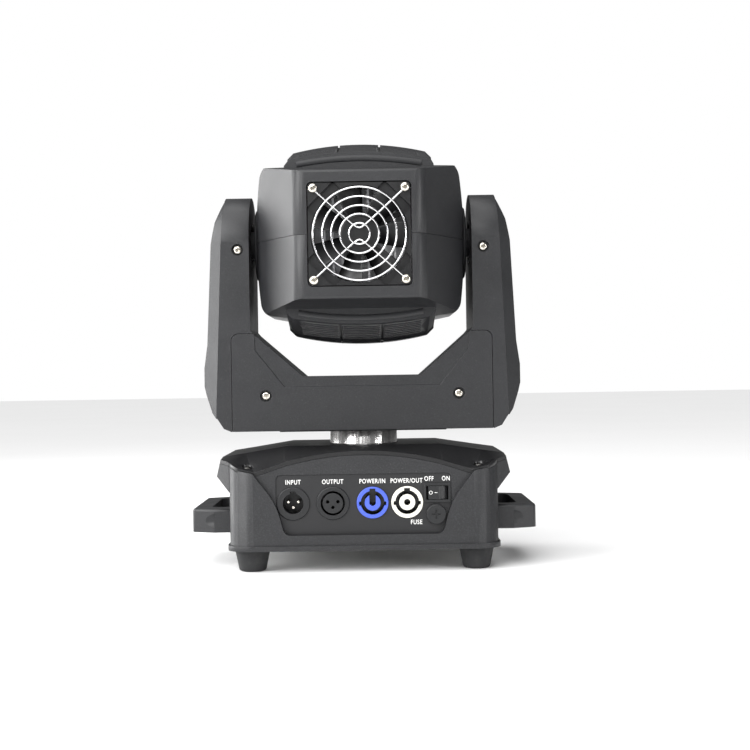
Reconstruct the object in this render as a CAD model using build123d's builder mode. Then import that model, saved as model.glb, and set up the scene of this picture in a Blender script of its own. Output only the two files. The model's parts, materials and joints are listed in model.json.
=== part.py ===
"""Moving head light: a base with connectors, a turning yoke and a tilting lamp head.

Millimetres, +Z up. The origin is where the pan axis meets the floor. The connectors and
the fan face -Y, the lens faces +Y, and the tilt axis runs along X.
"""
import os
from math import hypot

from build123d import *

os.makedirs("parts", exist_ok=True)

# ---- base ----
base_half_x = 106.0        # side walls
base_half_y = 88.0         # front and rear faces of the corner pillars
base_height = 80.0         # from the underside to the flat top
base_corner_r = 20.0
foot_h = 17.0
foot_top_r = 14.0
foot_low_r = 10.5
wall = 2.8                 # moulded wall of the base
cover_t = 3.0              # top cover
lip_h = 4.0
lip_out = 1.5
face_recess = 4.0          # the end faces lie this deep between the pillars
shoulder_out = 11.0        # widest bulge of the side shoulders
seam = 0.3                 # line between two mouldings
plate_t = 2.0              # steel bottom plate and chassis sheet
insert_r = 3.0             # M6 threaded insert in the bottom plate
insert_boss_r = 6.0
insert_depth = 8.0
insert_x = 140.0           # spacing of the inserts
insert_y = 60.0

# ---- carrying handles ----
handle_out = 32.5
handle_half_y = 56.0
handle_t = 19.0
handle_bar = 13.0
handle_hole_half_y = 40.0

# ---- connectors on the rear plate ----
panel_half_x = 68.5
panel_t = 2.2
panel_sunk = 0.8
socket_ring_r = 13.0
socket_body_r = 11.8
socket_ring_t = 1.3
xlr_in_x, xlr_out_x = -55.0, -24.0
power_in_x, power_out_x = 7.0, 34.0
switch_x, fuse_x = 57.5, 56.5
switch_w, switch_h = 21.0, 15.0
fuse_r = 7.8

# ---- display on the front ----
screen_w, screen_h = 62.0, 20.0
button_r = 4.0
button_pitch = 20.0
button_travel = 1.0
slide_fit = 0.15

# ---- pan drive ----
tube_r = 28.0
tube_bore_r = 24.0
tube_show = 11.5           # polished tube between the base and the yoke
running_fit = 0.04         # radial, shafts in their bearings
belt_gap = 0.3
belt_t = 1.4
belt_w = 6.0
motor_side = 40.0
motor_len = 34.0
motor_shaft_r = 2.5
pan_pulley_r = 36.0
pan_pinion_r = 8.0
pan_pinion_x = 62.0
bearing_r = 39.0

# ---- yoke ----
cross_h = 44.5             # height of the cross-piece
arm_w = 21.0
arm_r = 40.0               # half depth of the yoke and radius of the arm tops
yoke_wall = 2.4
arm_flare = 7.5            # the arms' outer faces lean out by this much at the bottom
side_bulge = 11.0          # side covers stand out this far at the tilt axis
swing_gap = 3.8            # between the swinging head and the cross-piece
side_gap = 3.6             # between the tilt hubs and the arms
screw_head_r = 3.5
screw_shaft_r = 1.5
boss_len = 11.0            # screw bosses inside the rear mouldings

# ---- tilt drive ----
shaft_r = 12.0
tilt_bearing_r = 17.0
tilt_pulley_r = 24.0
tilt_pinion_r = 8.0

# ---- head ----
head_half_x = 85.0
head_rear = 89.0           # rear face behind the tilt axis
head_front = 84.0
head_reach = 91.4          # fan screws at the back, lens ring at the front
head_half_z = 65.5
head_wall = 2.5
hub_out = 2.0
hub_r = 30.0
bezel_r = 54.0
lens_r = 43.8
fan_side = 80.0
fan_t = 25.0
fan_hole = 71.5
fan_sunk = 0.8
duct_r = 38.0
fan_waist = 2.0            # small flats at the fan's corners between its two flanges
hub_fan_r = 15.0
wire_r = 0.75
blades = 7
sink_side = 84.0
sink_base_t = 5.0
bezel_tube_r = 47.0
fan_screw_r = 1.9
eyelet_r = 2.7
cable_bore_r = 8.0         # cables pass through the hollow tilt shafts
chassis_x = 74.5           # half width of the chassis inside the head
wheel_axle = 27.0          # colour and gobo axles beside the light path

# ---- heights and places that follow ----
base_z = foot_h
top_z = base_z + base_height
face_y = base_half_y - face_recess
yoke_z = top_z + tube_show
cross_z = yoke_z + cross_h
tilt_z = cross_z + hypot(head_reach, bezel_r) + swing_gap
arm_in = head_half_x + hub_out + side_gap
arm_out = arm_in + arm_w


def facing_back(y, z=0.0):
    """A plane that faces -Y: its own x is +X and its own y is +Z."""
    return Plane(origin=(0, y, z), x_dir=(1, 0, 0), z_dir=(0, -1, 0))


def facing_front(y, z=0.0):
    """A plane that faces +Y: its own x is -X and its own y is +Z."""
    return Plane(origin=(0, y, z), x_dir=(-1, 0, 0), z_dir=(0, 1, 0))


def facing_right(x, z=0.0):
    """A plane that faces +X: its own x is +Y and its own y is +Z."""
    return Plane(origin=(x, 0, z), x_dir=(0, 1, 0), z_dir=(1, 0, 0))


def save(piece, name):
    """Label one finished sub-part and write its STEP file."""
    piece.part.label = name
    export_step(piece.part, f"parts/{name}.step")


# ======================= base: outer forms =======================
pillar_top = top_z - 17.5
arch_end_x = base_half_x - 21.0
arch_end_z = top_z - 19.0
arch_crown_z = top_z - 3.0
plateau_x = base_half_x - 44.0
crown_mid_y = base_half_y - 38.0
crown_edge_x = base_half_x + 16.0
arch_r = (arch_end_x ** 2 + (arch_crown_z - arch_end_z) ** 2) / (2 * (arch_crown_z - arch_end_z))


def arch_z(x):
    """Height of the arched end face at a distance from its middle."""
    return arch_crown_z - arch_r + (arch_r ** 2 - x ** 2) ** 0.5


def crown_section(plane, corner, shelf, plateau_z, arched):
    """Closed section of the base under its top surface, from side to side."""
    with BuildSketch(plane) as section:
        with BuildLine():
            Polyline((-plateau_x, plateau_z), (-shelf[0], shelf[1]), (-crown_edge_x, corner),
                     (-crown_edge_x, base_z), (crown_edge_x, base_z), (crown_edge_x, corner),
                     (shelf[0], shelf[1]), (plateau_x, plateau_z))
            if arched:
                ThreePointArc((plateau_x, plateau_z), (0, arch_crown_z), (-plateau_x, plateau_z))
            else:
                Line((plateau_x, plateau_z), (-plateau_x, plateau_z))
        make_face()
    return section


def crown_form(drop):
    """Everything under the base's top surface, lowered by drop."""
    rear_end = crown_section(facing_back(-face_y, -drop), pillar_top + 9.0,
                             (arch_end_x, arch_end_z), arch_z(plateau_x), True)
    rear_mid = crown_section(facing_back(-crown_mid_y, -drop), top_z - 9.2,
                             (arch_end_x + 10, top_z - 5.2), top_z, False)
    front_mid = crown_section(facing_back(crown_mid_y, -drop), top_z - 9.2,
                              (arch_end_x + 10, top_z - 5.2), top_z, False)
    with BuildPart() as form:
        loft([rear_end.sketch, rear_mid.sketch], ruled=True)
        mirror(about=Plane.XZ)
        extrude(front_mid.sketch, amount=2 * crown_mid_y)
    return form.part


def shoulder_forms():
    """Flared shoulders on both sides, sloped at their front and rear ends."""
    root = base_half_x - 10
    wide = base_half_x + shoulder_out
    with BuildPart() as shoulders:
        with BuildSketch(facing_back(base_half_y)):
            with BuildLine():
                Polyline((root, top_z - 35), (base_half_x, top_z - 35), (wide, top_z - 23),
                         (base_half_x + 7, top_z - 8), (base_half_x + 6.5, top_z + 5),
                         (root, top_z + 5), close=True)
            make_face()
        extrude(amount=2 * base_half_y)
        with BuildSketch(Plane.XY.offset(base_z)):
            with BuildLine():
                Polyline((root, 16 - base_half_y), (base_half_x, 16 - base_half_y),
                         (wide + 2, 30 - base_half_y), (wide + 2, base_half_y - 30),
                         (base_half_x, base_half_y - 16), (root, base_half_y - 16), close=True)
            make_face()
        extrude(amount=base_height + 10, mode=Mode.INTERSECT)
        mirror(about=Plane.YZ)
    return shoulders.part


def face_outline(plane, top):
    """The end face between the pillars: straight below, an S-curve up each side."""
    low = base_z + 12.0
    rise = pillar_top - low
    with BuildSketch(plane) as outline:
        with BuildLine():
            Line((0, low), (panel_half_x - 12, low))
            Spline((panel_half_x - 12, low), (panel_half_x - 4.5, low + 0.17 * rise),
                   (panel_half_x - 1.0, low + 0.4 * rise), (panel_half_x + 6.5, low + 0.67 * rise),
                   (arch_end_x - 0.5, low + 0.91 * rise), (base_half_x - 9, pillar_top),
                   tangents=((1, 0), (1, 0.15)))
            Polyline((base_half_x - 9, pillar_top), (crown_edge_x, pillar_top + 3),
                     (crown_edge_x, top), (0, top), (0, low))
        make_face()
        mirror(about=Plane.YZ)
    return outline.sketch


def panel_outline(plane):
    """The sunk plate inside the end face, for the connectors or the display."""
    low = base_z + 12.0
    high = top_z - 21.0
    with BuildSketch(plane) as panel:
        add(face_outline(Plane.XY, top_z))
        with Locations((0, (low + high) / 2)):
            RectangleRounded(2 * panel_half_x, high - low, 4.0, mode=Mode.INTERSECT)
    return panel.sketch


def socket_holes(plane):
    """Round holes in the connector plate, one behind each socket."""
    with BuildSketch(plane) as holes:
        with Locations((xlr_in_x, socket_z), (xlr_out_x, socket_z), (power_in_x, socket_z),
                       (power_out_x, socket_z)):
            Circle(socket_body_r)
        with Locations((fuse_x, fuse_z)):
            Circle(fuse_body_r)
        with Locations((switch_x, switch_z)):
            Rectangle(switch_w - 2, switch_h - 2)
    return holes.sketch


# ---- heights on the end faces ----
panel_low = base_z + 12.0
panel_high = top_z - 21.0
panel_mid = (panel_low + panel_high) / 2
socket_z = panel_mid + 1.0
switch_z = panel_mid + 8.1
fuse_z = panel_mid - 8.6
fuse_body_r = 6.0
panel_y = face_y - panel_sunk
cavity_half_x = base_half_x - wall
cavity_half_y = face_y - wall - 0.6
cavity_r = base_corner_r - wall
cover_screw_x = base_half_x - 15.0
cover_screw_y = base_half_y - 13.0
cover_screw_z = pillar_top + 2.6
cover_screw_sunk = 1.2
screw_len = 12.0
post_r = 5.0
foot_x = base_half_x - 17.5
foot_y = base_half_y - 20.0
handle_z = base_z + 21.2
xlr_depth = 22.0
xlr_cavity_r = 8.0
xlr_cavity_depth = 15.0
xlr_groove_r = 9.5
xlr_insert_r = 7.9
xlr_pin_len = 12.0
xlr_contacts = ((-4.0, 1.2), (4.0, 1.2), (0.0, -3.2))
power_ring_r = 12.4
power_depth = 26.0
power_gap_r = 9.3
power_gap_depth = 14.0
power_core_r = 6.2
power_core_hole_r = 2.5
rocker_r = 8.2
rocker_h = 10.4
rocker_tilt = 12.0         # degrees to each side of the middle
rocker_flat = 4.6          # from the rocker's pivot to its two flats
rocker_y = -panel_y + 3.4

crown_top = crown_form(0)
crown_inside = crown_form(cover_t)
crown_under = crown_form(cover_t + seam)
shoulder = shoulder_forms()

with BuildPart() as outer_walls:
    with BuildSketch(Plane.XY.offset(base_z)):
        RectangleRounded(2 * base_half_x, 2 * base_half_y, base_corner_r)
    extrude(amount=base_height + 10)

with BuildPart() as upper_outline:
    add(outer_walls.part)
    add(shoulder)

# Between the pillars the end faces are set back: the bands are what stands proud of them.
with BuildPart() as end_bands:
    with BuildSketch(facing_back(-face_y)):
        with Locations((0, base_z + base_height / 2)):
            Rectangle(2 * base_half_x, base_height)
        add(face_outline(Plane.XY, top_z + 5), mode=Mode.SUBTRACT)
    extrude(amount=face_recess)
    mirror(about=Plane.XZ)
    add(outer_walls.part, mode=Mode.INTERSECT)

# Posts in the four corners carry the cover and take its screws.
with BuildPart() as cover_posts:
    with BuildSketch(Plane.XY.offset(base_z + plate_t)):
        with GridLocations(2 * cover_screw_x, 2 * cover_screw_y, 2, 2):
            Rectangle(2 * post_r, 2 * (cavity_half_y + 0.5 - cover_screw_y))
    extrude(amount=base_height)
    add(crown_inside, mode=Mode.INTERSECT)

# ======================= base: mouldings =======================
with BuildPart() as base_housing:
    add(upper_outline.part)
    add(crown_under, mode=Mode.INTERSECT)
    add(end_bands.part)
    with BuildSketch(Plane.XY.offset(base_z)):
        RectangleRounded(2 * (base_half_x + lip_out), 2 * (base_half_y + lip_out), base_corner_r)
    extrude(amount=lip_h)
    with BuildSketch(Plane.XY.offset(base_z)):
        RectangleRounded(2 * cavity_half_x, 2 * cavity_half_y, cavity_r)
    extrude(amount=base_height, mode=Mode.SUBTRACT)
    add(cover_posts.part)
    for end in (facing_back(-face_y - 1), facing_front(face_y + 1)):
        extrude(panel_outline(end), amount=-(wall + 2), mode=Mode.SUBTRACT)
    with Locations((0, 0, cover_screw_z)):
        with GridLocations(2 * cover_screw_x, 2 * cover_screw_y, 2, 2):
            Hole(screw_shaft_r, depth=screw_len)

with BuildPart() as base_top_cover:
    add(upper_outline.part)
    add(crown_top, mode=Mode.INTERSECT)
    add(crown_inside, mode=Mode.SUBTRACT)
    with BuildSketch(Plane.XY.offset(base_z)):
        Circle(tube_r + 1.0)
    extrude(amount=base_height + 1, mode=Mode.SUBTRACT)
    with BuildSketch(Plane.XY.offset(cover_screw_z - cover_screw_sunk)):
        with GridLocations(2 * cover_screw_x, 2 * cover_screw_y, 2, 2):
            Circle(screw_head_r + 0.9)
    extrude(amount=10, mode=Mode.SUBTRACT)
    with Locations((0, 0, cover_screw_z)):
        with GridLocations(2 * cover_screw_x, 2 * cover_screw_y, 2, 2):
            Hole(screw_shaft_r, depth=screw_len)

with BuildPart() as base_bottom_plate:
    with BuildSketch(Plane.XY.offset(base_z)):
        RectangleRounded(2 * cavity_half_x, 2 * cavity_half_y, cavity_r)
    extrude(amount=plate_t)
    with BuildSketch(Plane.XY.offset(base_z)):
        with GridLocations(insert_x, insert_y, 2, 2):
            Circle(insert_boss_r)
    extrude(amount=insert_depth)
    with Locations((0, 0, base_z + insert_depth)):
        with GridLocations(insert_x, insert_y, 2, 2):
            Hole(insert_r, depth=insert_depth)

with BuildPart() as base_feet:
    with GridLocations(2 * foot_x, 2 * foot_y, 2, 2):
        with Locations((0, 0, foot_h / 2)):
            Cone(foot_low_r, foot_top_r, foot_h)
    fillet(base_feet.edges().group_by(Axis.Z)[0], 2.5)

with BuildPart() as base_cover_screws:
    with BuildSketch(Plane.XY.offset(cover_screw_z - cover_screw_sunk)):
        with GridLocations(2 * cover_screw_x, 2 * cover_screw_y, 2, 2):
            Circle(screw_head_r)
    extrude(amount=1.6)
    with BuildSketch(Plane.XY.offset(cover_screw_z - cover_screw_sunk)):
        with GridLocations(2 * cover_screw_x, 2 * cover_screw_y, 2, 2):
            Circle(screw_shaft_r)
    extrude(amount=cover_screw_sunk - screw_len)

# ---- carrying handle: a loop beside the base with scooped ends ----
with BuildPart() as side_handle_right:
    with BuildSketch(Plane.XY.offset(handle_z - handle_t / 2)):
        with BuildLine():
            Polyline((base_half_x, -handle_half_y), (base_half_x + 14, -handle_half_y),
                     (base_half_x + handle_out, 8 - handle_half_y),
                     (base_half_x + handle_out, handle_half_y - 8),
                     (base_half_x + 14, handle_half_y), (base_half_x, handle_half_y), close=True)
        make_face()
        with Locations((base_half_x + (handle_out - handle_bar) / 2, 0)):
            SlotOverall(2 * handle_hole_half_y, handle_out - handle_bar - 3, rotation=90,
                        mode=Mode.SUBTRACT)
    extrude(amount=handle_t)
    fillet(side_handle_right.edges().filter_by(Axis.Z).group_by(Axis.X)[-1], 5.0)
    fillet(side_handle_right.faces().sort_by(Axis.Z)[-1].outer_wire().edges().sort_by(Axis.X)[1:], 2.4)
    for end in (-1, 1):
        with Locations((base_half_x + 14 + handle_out / 2, end * (handle_half_y + 3.4), handle_z)):
            Cylinder(6.6, handle_out, rotation=(0, 90, -14 * end), mode=Mode.SUBTRACT)

with BuildPart() as side_handle_left:
    mirror(side_handle_right.part, about=Plane.YZ)

# ---- connector plate and its sockets ----
with BuildPart() as connector_panel:
    extrude(panel_outline(facing_back(-panel_y)), amount=-panel_t)
    extrude(socket_holes(facing_back(-panel_y)), amount=-panel_t, mode=Mode.SUBTRACT)

with BuildPart(facing_back(-panel_y, socket_z)) as xlr_in_socket:
    with Locations((xlr_in_x, 0)):
        Cylinder(socket_ring_r, socket_ring_t, align=(Align.CENTER, Align.CENTER, Align.MIN))
        Cylinder(socket_body_r, xlr_depth, align=(Align.CENTER, Align.CENTER, Align.MAX))
        with Locations((0, 0, socket_ring_t)):
            Hole(xlr_cavity_r, depth=xlr_cavity_depth)
        with Locations((0, xlr_cavity_r, socket_ring_t)):
            Box(4.5, 3.0, 2 * xlr_cavity_depth, mode=Mode.SUBTRACT)
    chamfer(xlr_in_socket.edges().filter_by(GeomType.CIRCLE).group_by(Axis.Y)[0].sort_by(SortBy.RADIUS)[-1], 0.6)

with BuildPart(facing_back(-panel_y, socket_z)) as xlr_in_pins:
    for x, z in xlr_contacts:
        with Locations((xlr_in_x + x, z, socket_ring_t - xlr_cavity_depth)):
            Cylinder(1.2, xlr_pin_len, align=(Align.CENTER, Align.CENTER, Align.MIN))
    fillet(xlr_in_pins.edges().group_by(Axis.Y)[0], 0.7)

with BuildPart(facing_back(-panel_y, socket_z)) as xlr_out_socket:
    with Locations((xlr_out_x, 0)):
        Cylinder(socket_ring_r, socket_ring_t, align=(Align.CENTER, Align.CENTER, Align.MIN))
        Cylinder(socket_body_r, xlr_depth, align=(Align.CENTER, Align.CENTER, Align.MAX))
        for x, z in xlr_contacts:
            with Locations((-x, z, socket_ring_t)):
                Hole(1.3, depth=xlr_cavity_depth)
    with BuildSketch(facing_back(-panel_y - socket_ring_t, socket_z)):
        with Locations((xlr_out_x, 0)):
            Circle(xlr_groove_r)
            Circle(xlr_insert_r, mode=Mode.SUBTRACT)
    extrude(amount=-xlr_cavity_depth, mode=Mode.SUBTRACT)
    chamfer(xlr_out_socket.edges().filter_by(GeomType.CIRCLE).group_by(Axis.Y)[0].sort_by(SortBy.RADIUS)[-1], 0.6)


def power_socket(x, keyed_core):
    """Round locking power inlet: outer ring, annular gap with three notches, hollow core."""
    with BuildPart(facing_back(-panel_y, socket_z)) as socket:
        with Locations((x, 0)):
            Cylinder(power_ring_r, socket_ring_t, align=(Align.CENTER, Align.CENTER, Align.MIN))
            Cylinder(socket_body_r, power_depth, align=(Align.CENTER, Align.CENTER, Align.MAX))
        with BuildSketch(facing_back(-panel_y - socket_ring_t, socket_z)):
            with Locations((x, 0)):
                Circle(power_gap_r)
                with Locations((0, power_gap_r)):
                    Rectangle(4.6, 3.4)
                with Locations((-power_gap_r, -0.6), (power_gap_r, -0.6)):
                    Rectangle(2.6, 3.0)
                Circle(power_core_r, mode=Mode.SUBTRACT)
                Circle(power_core_hole_r)
                if keyed_core:
                    with Locations((0, power_core_r / 2)):
                        Rectangle(2 * power_core_hole_r, power_core_r + 1)
        extrude(amount=-power_gap_depth, mode=Mode.SUBTRACT)
        fillet(socket.edges().filter_by(GeomType.CIRCLE).group_by(Axis.Y)[0].sort_by(SortBy.RADIUS)[-1], 0.6)
    return socket


power_in_socket = power_socket(power_in_x, True)
power_out_socket = power_socket(power_out_x, False)

# ---- rocker switch: the rocker is a slice of a drum cut by two flats, hung on its middle ----
with BuildPart(facing_back(-panel_y, switch_z)) as switch_frame:
    with Locations((switch_x, 0)):
        Box(switch_w, switch_h, 1.4, align=(Align.CENTER, Align.CENTER, Align.MIN))
        Box(switch_w - 2, switch_h - 2, 16, align=(Align.CENTER, Align.CENTER, Align.MAX))
        with Locations((0, 0, 1.4)):
            Box(2 * rocker_r + 0.8, rocker_h + 0.6, 13.4, align=(Align.CENTER, Align.CENTER, Align.MAX),
                mode=Mode.SUBTRACT)
    fillet(switch_frame.edges().filter_by(Axis.Z).group_by(Axis.Y)[0].sort_by(Axis.X)[0], 0.5)

with BuildPart() as switch_rocker:
    with BuildSketch(Plane.XY.offset(switch_z - rocker_h / 2)):
        with Locations((switch_x, rocker_y)):
            Circle(rocker_r)
            for flat in (0, 2 * rocker_tilt):
                with Locations(Location((0, 0), flat)):
                    with Locations((0, -rocker_flat - rocker_r / 2)):
                        Rectangle(3 * rocker_r, rocker_r, mode=Mode.SUBTRACT)
    extrude(amount=rocker_h)

with BuildPart(facing_back(-panel_y, fuse_z)) as fuse_cap:
    with Locations((fuse_x, 0)):
        with Locations((0, 0, 0.2)):
            Cylinder(fuse_r, 3.0, align=(Align.CENTER, Align.CENTER, Align.MIN))
        with Locations((0, 0, 0.2)):
            Cylinder(fuse_body_r - running_fit, 24, align=(Align.CENTER, Align.CENTER, Align.MAX))
        with Locations((0, 0, 3.2)):
            Box(7.0, 1.3, 2.4, mode=Mode.SUBTRACT)
            Box(1.3, 7.0, 2.4, mode=Mode.SUBTRACT)
    fillet(fuse_cap.edges().filter_by(GeomType.CIRCLE).group_by(Axis.Y)[0].sort_by(SortBy.RADIUS)[-1], 0.9)

# ======================= base: display on the front =======================
screen_z = panel_high - 5 - screen_h / 2
button_z = panel_low + 8.5
button_xs = [(i - 1.5) * button_pitch for i in range(4)]

with BuildPart() as display_panel:
    extrude(panel_outline(facing_front(panel_y)), amount=-panel_t)
    with BuildSketch(facing_front(panel_y)):
        with Locations((0, screen_z)):
            Rectangle(screen_w, screen_h)
        with Locations(*[(x, button_z) for x in button_xs]):
            Circle(button_r + slide_fit)
    extrude(amount=-panel_t, mode=Mode.SUBTRACT)

with BuildPart(facing_front(panel_y, screen_z)) as display_screen:
    Box(screen_w, screen_h, panel_t + 0.6, align=(Align.CENTER, Align.CENTER, Align.MAX))
    with Locations((0, 0, -panel_t)):
        Box(screen_w + 6, screen_h + 4, 2.0, align=(Align.CENTER, Align.CENTER, Align.MAX))


def menu_button(x):
    """Round key with a flange behind the panel that keeps it in its hole."""
    with BuildPart(facing_front(panel_y, button_z)) as button:
        with Locations((x, 0, -panel_t - button_travel)):
            Cylinder(button_r, panel_t + 2 * button_travel + 0.6, align=(Align.CENTER, Align.CENTER, Align.MIN))
        with Locations((x, 0, -panel_t - 0.1)):
            Cylinder(button_r + 0.8, 1.2, align=(Align.CENTER, Align.CENTER, Align.MAX))
        fillet(button.edges().group_by(Axis.Y)[-1], 0.6)
    return button


button_menu, button_down, button_up, button_enter = [menu_button(x) for x in button_xs]

# ======================= base: inside =======================
bearing_z = top_z - cover_t - 9.0          # underside of the bearing plate
motor_z = base_z + plate_t
shelf_half_x = base_half_x - 13.0
shelf_half_y = base_half_y - 42.0

with BuildPart() as bearing_plate:
    with BuildSketch(Plane.XY.offset(bearing_z)):
        RectangleRounded(2 * shelf_half_x, 2 * shelf_half_y, 6)
        Circle(bearing_r, mode=Mode.SUBTRACT)
    extrude(amount=plate_t + 1)
    with BuildSketch(Plane.XY.offset(motor_z)):
        with GridLocations(2 * shelf_half_x - 10, 2 * shelf_half_y - 10, 2, 2):
            Circle(4.0)
    extrude(amount=bearing_z - motor_z)

with BuildPart() as pan_bearing:
    with BuildSketch(Plane.XY.offset(bearing_z - 3)):
        Circle(bearing_r)
        Circle(tube_r + running_fit, mode=Mode.SUBTRACT)
    extrude(amount=9)
    chamfer(pan_bearing.edges().filter_by(GeomType.CIRCLE).group_by(SortBy.RADIUS)[-1], 0.8)

pulley_z = bearing_z - 16.0
with BuildPart() as pan_motor:
    with BuildSketch(Plane.XY.offset(motor_z)):
        with Locations((pan_pinion_x, 0)):
            Rectangle(motor_side, motor_side)
    extrude(amount=motor_len)
    chamfer(pan_motor.edges().filter_by(Axis.Z), 4.0)
    with BuildSketch(Plane.XY.offset(motor_z + motor_len)):
        with Locations((pan_pinion_x, 0)):
            Circle(11.0)
    extrude(amount=2.0)
    with Locations((pan_pinion_x, 0, motor_z + motor_len + 2.0)):
        Hole(motor_shaft_r + running_fit, depth=motor_len - 4)

with BuildPart() as pan_pinion:
    with BuildSketch(Plane.XY.offset(pulley_z)):
        with Locations((pan_pinion_x, 0)):
            Circle(pan_pinion_r)
    extrude(amount=belt_w + 1)
    with BuildSketch(Plane.XY.offset(pulley_z - 1)):
        with Locations((pan_pinion_x, 0)):
            Circle(pan_pinion_r + 2.5)
    extrude(amount=1)
    with BuildSketch(Plane.XY.offset(pulley_z)):
        with Locations((pan_pinion_x, 0)):
            Circle(motor_shaft_r)
    extrude(amount=motor_z + 10 - pulley_z)

with BuildPart() as pan_belt:
    with BuildSketch(Plane.XY.offset(pulley_z + 0.5)) as pan_loop:
        Circle(pan_pulley_r + belt_gap + belt_t)
        with Locations((pan_pinion_x, 0)):
            Circle(pan_pinion_r + belt_gap + belt_t)
        make_hull()
    extrude(amount=belt_w)
    with BuildSketch(Plane.XY.offset(pulley_z + 0.5)):
        Circle(pan_pulley_r + belt_gap)
        with Locations((pan_pinion_x, 0)):
            Circle(pan_pinion_r + belt_gap)
        make_hull()
    extrude(amount=belt_w, mode=Mode.SUBTRACT)

supply_x = base_half_x - 37.0
with BuildPart() as power_supply:
    with BuildSketch(Plane.XY.offset(base_z + insert_depth + 1)):
        with Locations((-supply_x, 0)):
            RectangleRounded(44, 2 * shelf_half_y - 24, 2)
    extrude(amount=24)
    with BuildSketch(Plane.XY.offset(motor_z)):
        with Locations((-supply_x, 0)):
            with GridLocations(30, 10, 2, 2):
                Circle(3)
    extrude(amount=insert_depth + 1 - plate_t)
    with BuildSketch(Plane.XY.offset(base_z + insert_depth + 25)):
        with Locations((-supply_x, 0)):
            with GridLocations(0, 7, 1, 6):
                SlotOverall(30, 3)
    extrude(amount=-1.2, mode=Mode.SUBTRACT)

board_y = cavity_half_y - 16.0
with BuildPart() as main_board:
    with BuildSketch(facing_front(board_y, motor_z)):
        with Locations((0, 24)):
            Rectangle(110, 44)
    extrude(amount=1.6)
    with BuildSketch(facing_front(board_y + 1.6, motor_z)):
        with Locations((0, 16)):
            Rectangle(14, 14)
        with GridLocations(26, 0, 4, 1):
            with Locations((0, 34)):
                Rectangle(8, 5)
    extrude(amount=2.5)
    with BuildSketch(facing_front(board_y + 1.6, motor_z)):
        with Locations((-48, 3), (48, 3)):
            Rectangle(6, 6)
    extrude(amount=-6.0)

# ======================= yoke: outer forms =======================
yoke_half_w = arm_out - 4.6            # half width of the flat bottom
flare_low_z = yoke_z + 12.0            # where the lower corners cut the arms' outer faces
arm_top_z = tilt_z + arm_r
cross_flat = 48.0 / 90.6 * arm_in      # half width of the level part inside the U
lean_slope = arm_flare / (arm_top_z + 5 - flare_low_z)
bottom_pad = 0.8


def yoke_outline(plane, inset):
    """The U of the yoke from behind, shrunk by inset all round."""
    with BuildSketch(plane) as outline:
        with BuildLine():
            Polyline((0, yoke_z), (yoke_half_w, yoke_z), (yoke_half_w + 6, yoke_z + 2.5),
                     (arm_out + arm_flare, flare_low_z), (arm_out, arm_top_z + 5),
                     (arm_in, arm_top_z + 5), (arm_in, cross_z + 38), (arm_in - 2.6, cross_z + 35),
                     (cross_flat, cross_z), (0, cross_z), (0, yoke_z))
        make_face()
        mirror(about=Plane.YZ)
        if inset:
            offset(amount=-inset, kind=Kind.INTERSECTION)
    return outline.sketch


def arm_profile(plane, inset, low):
    """The yoke from the side: straight edges under a half-round top."""
    with BuildSketch(plane) as profile:
        with Locations((0, tilt_z)):
            Circle(arm_r - inset)
        with Locations((0, (tilt_z + low) / 2)):
            Rectangle(2 * (arm_r - inset), tilt_z - low)
    return profile.sketch


def yoke_form(inset):
    with BuildPart() as form:
        extrude(yoke_outline(facing_back(arm_r - inset), inset), amount=2 * (arm_r - inset))
        extrude(arm_profile(facing_right(-arm_out - 20), inset, yoke_z - 1), amount=2 * arm_out + 40,
                mode=Mode.INTERSECT)
    return form.part


# The rear of the cross-piece is a moulding of its own, bounded by a thin line up in the arms.
split_x = arm_in + 15.4
split_z = cross_z + 35.0


def cross_region(plane, grow):
    with BuildSketch(plane) as region:
        with Locations((0, (yoke_z - 10 + split_z) / 2)):
            RectangleRounded(2 * (split_x + grow), split_z - yoke_z + 10 + 2 * grow, 6.0)
    return region.sketch


yoke_screw_spots = [(side * (arm_in + 9.3), tilt_z - 6.5) for side in (-1, 1)]
cross_screw_spots = [(side * (arm_in - 12.2), yoke_z + 28.8) for side in (-1, 1)]
rear_y = -arm_r


def screw_bosses(spots, length):
    """Round bosses inside a rear moulding, behind its counterbored screws."""
    with BuildPart(facing_back(rear_y + 1.0)) as bosses:
        with Locations(*spots):
            Cylinder(7.0, length, align=(Align.CENTER, Align.CENTER, Align.MAX))
    return bosses.part


def screw_holes(spots):
    with BuildPart(facing_back(rear_y)) as holes:
        with Locations(*spots):
            Cylinder(4.75, 3.0, align=(Align.CENTER, Align.CENTER, Align.MAX))
            Cylinder(screw_shaft_r, 20.0, align=(Align.CENTER, Align.CENTER, Align.MAX))
    return holes.part


with BuildPart() as yoke_shell:
    add(yoke_form(0))
    add(yoke_form(yoke_wall), mode=Mode.SUBTRACT)
    with BuildSketch(Plane.XY.offset(yoke_z - bottom_pad)):
        Rectangle(2 * (yoke_half_w - 39), 2 * arm_r - 8)
    extrude(amount=bottom_pad)
    with BuildSketch(Plane.XY.offset(yoke_z - 2)):
        Circle(tube_r + 0.5)
    extrude(amount=yoke_wall + 4, mode=Mode.SUBTRACT)
    with BuildSketch(facing_right(-arm_in - yoke_wall - 1, tilt_z)):
        Circle(tilt_bearing_r + 2)
    extrude(amount=2 * (arm_in + yoke_wall + 1), mode=Mode.SUBTRACT)

with BuildPart() as yoke_rear_half:
    add(yoke_shell.part)
    split(bisect_by=Plane.XZ.offset(seam / 2), keep=Keep.TOP)
    for spots in (yoke_screw_spots, cross_screw_spots):
        add(screw_bosses(spots, boss_len))
        add(screw_holes(spots), mode=Mode.SUBTRACT)

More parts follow.
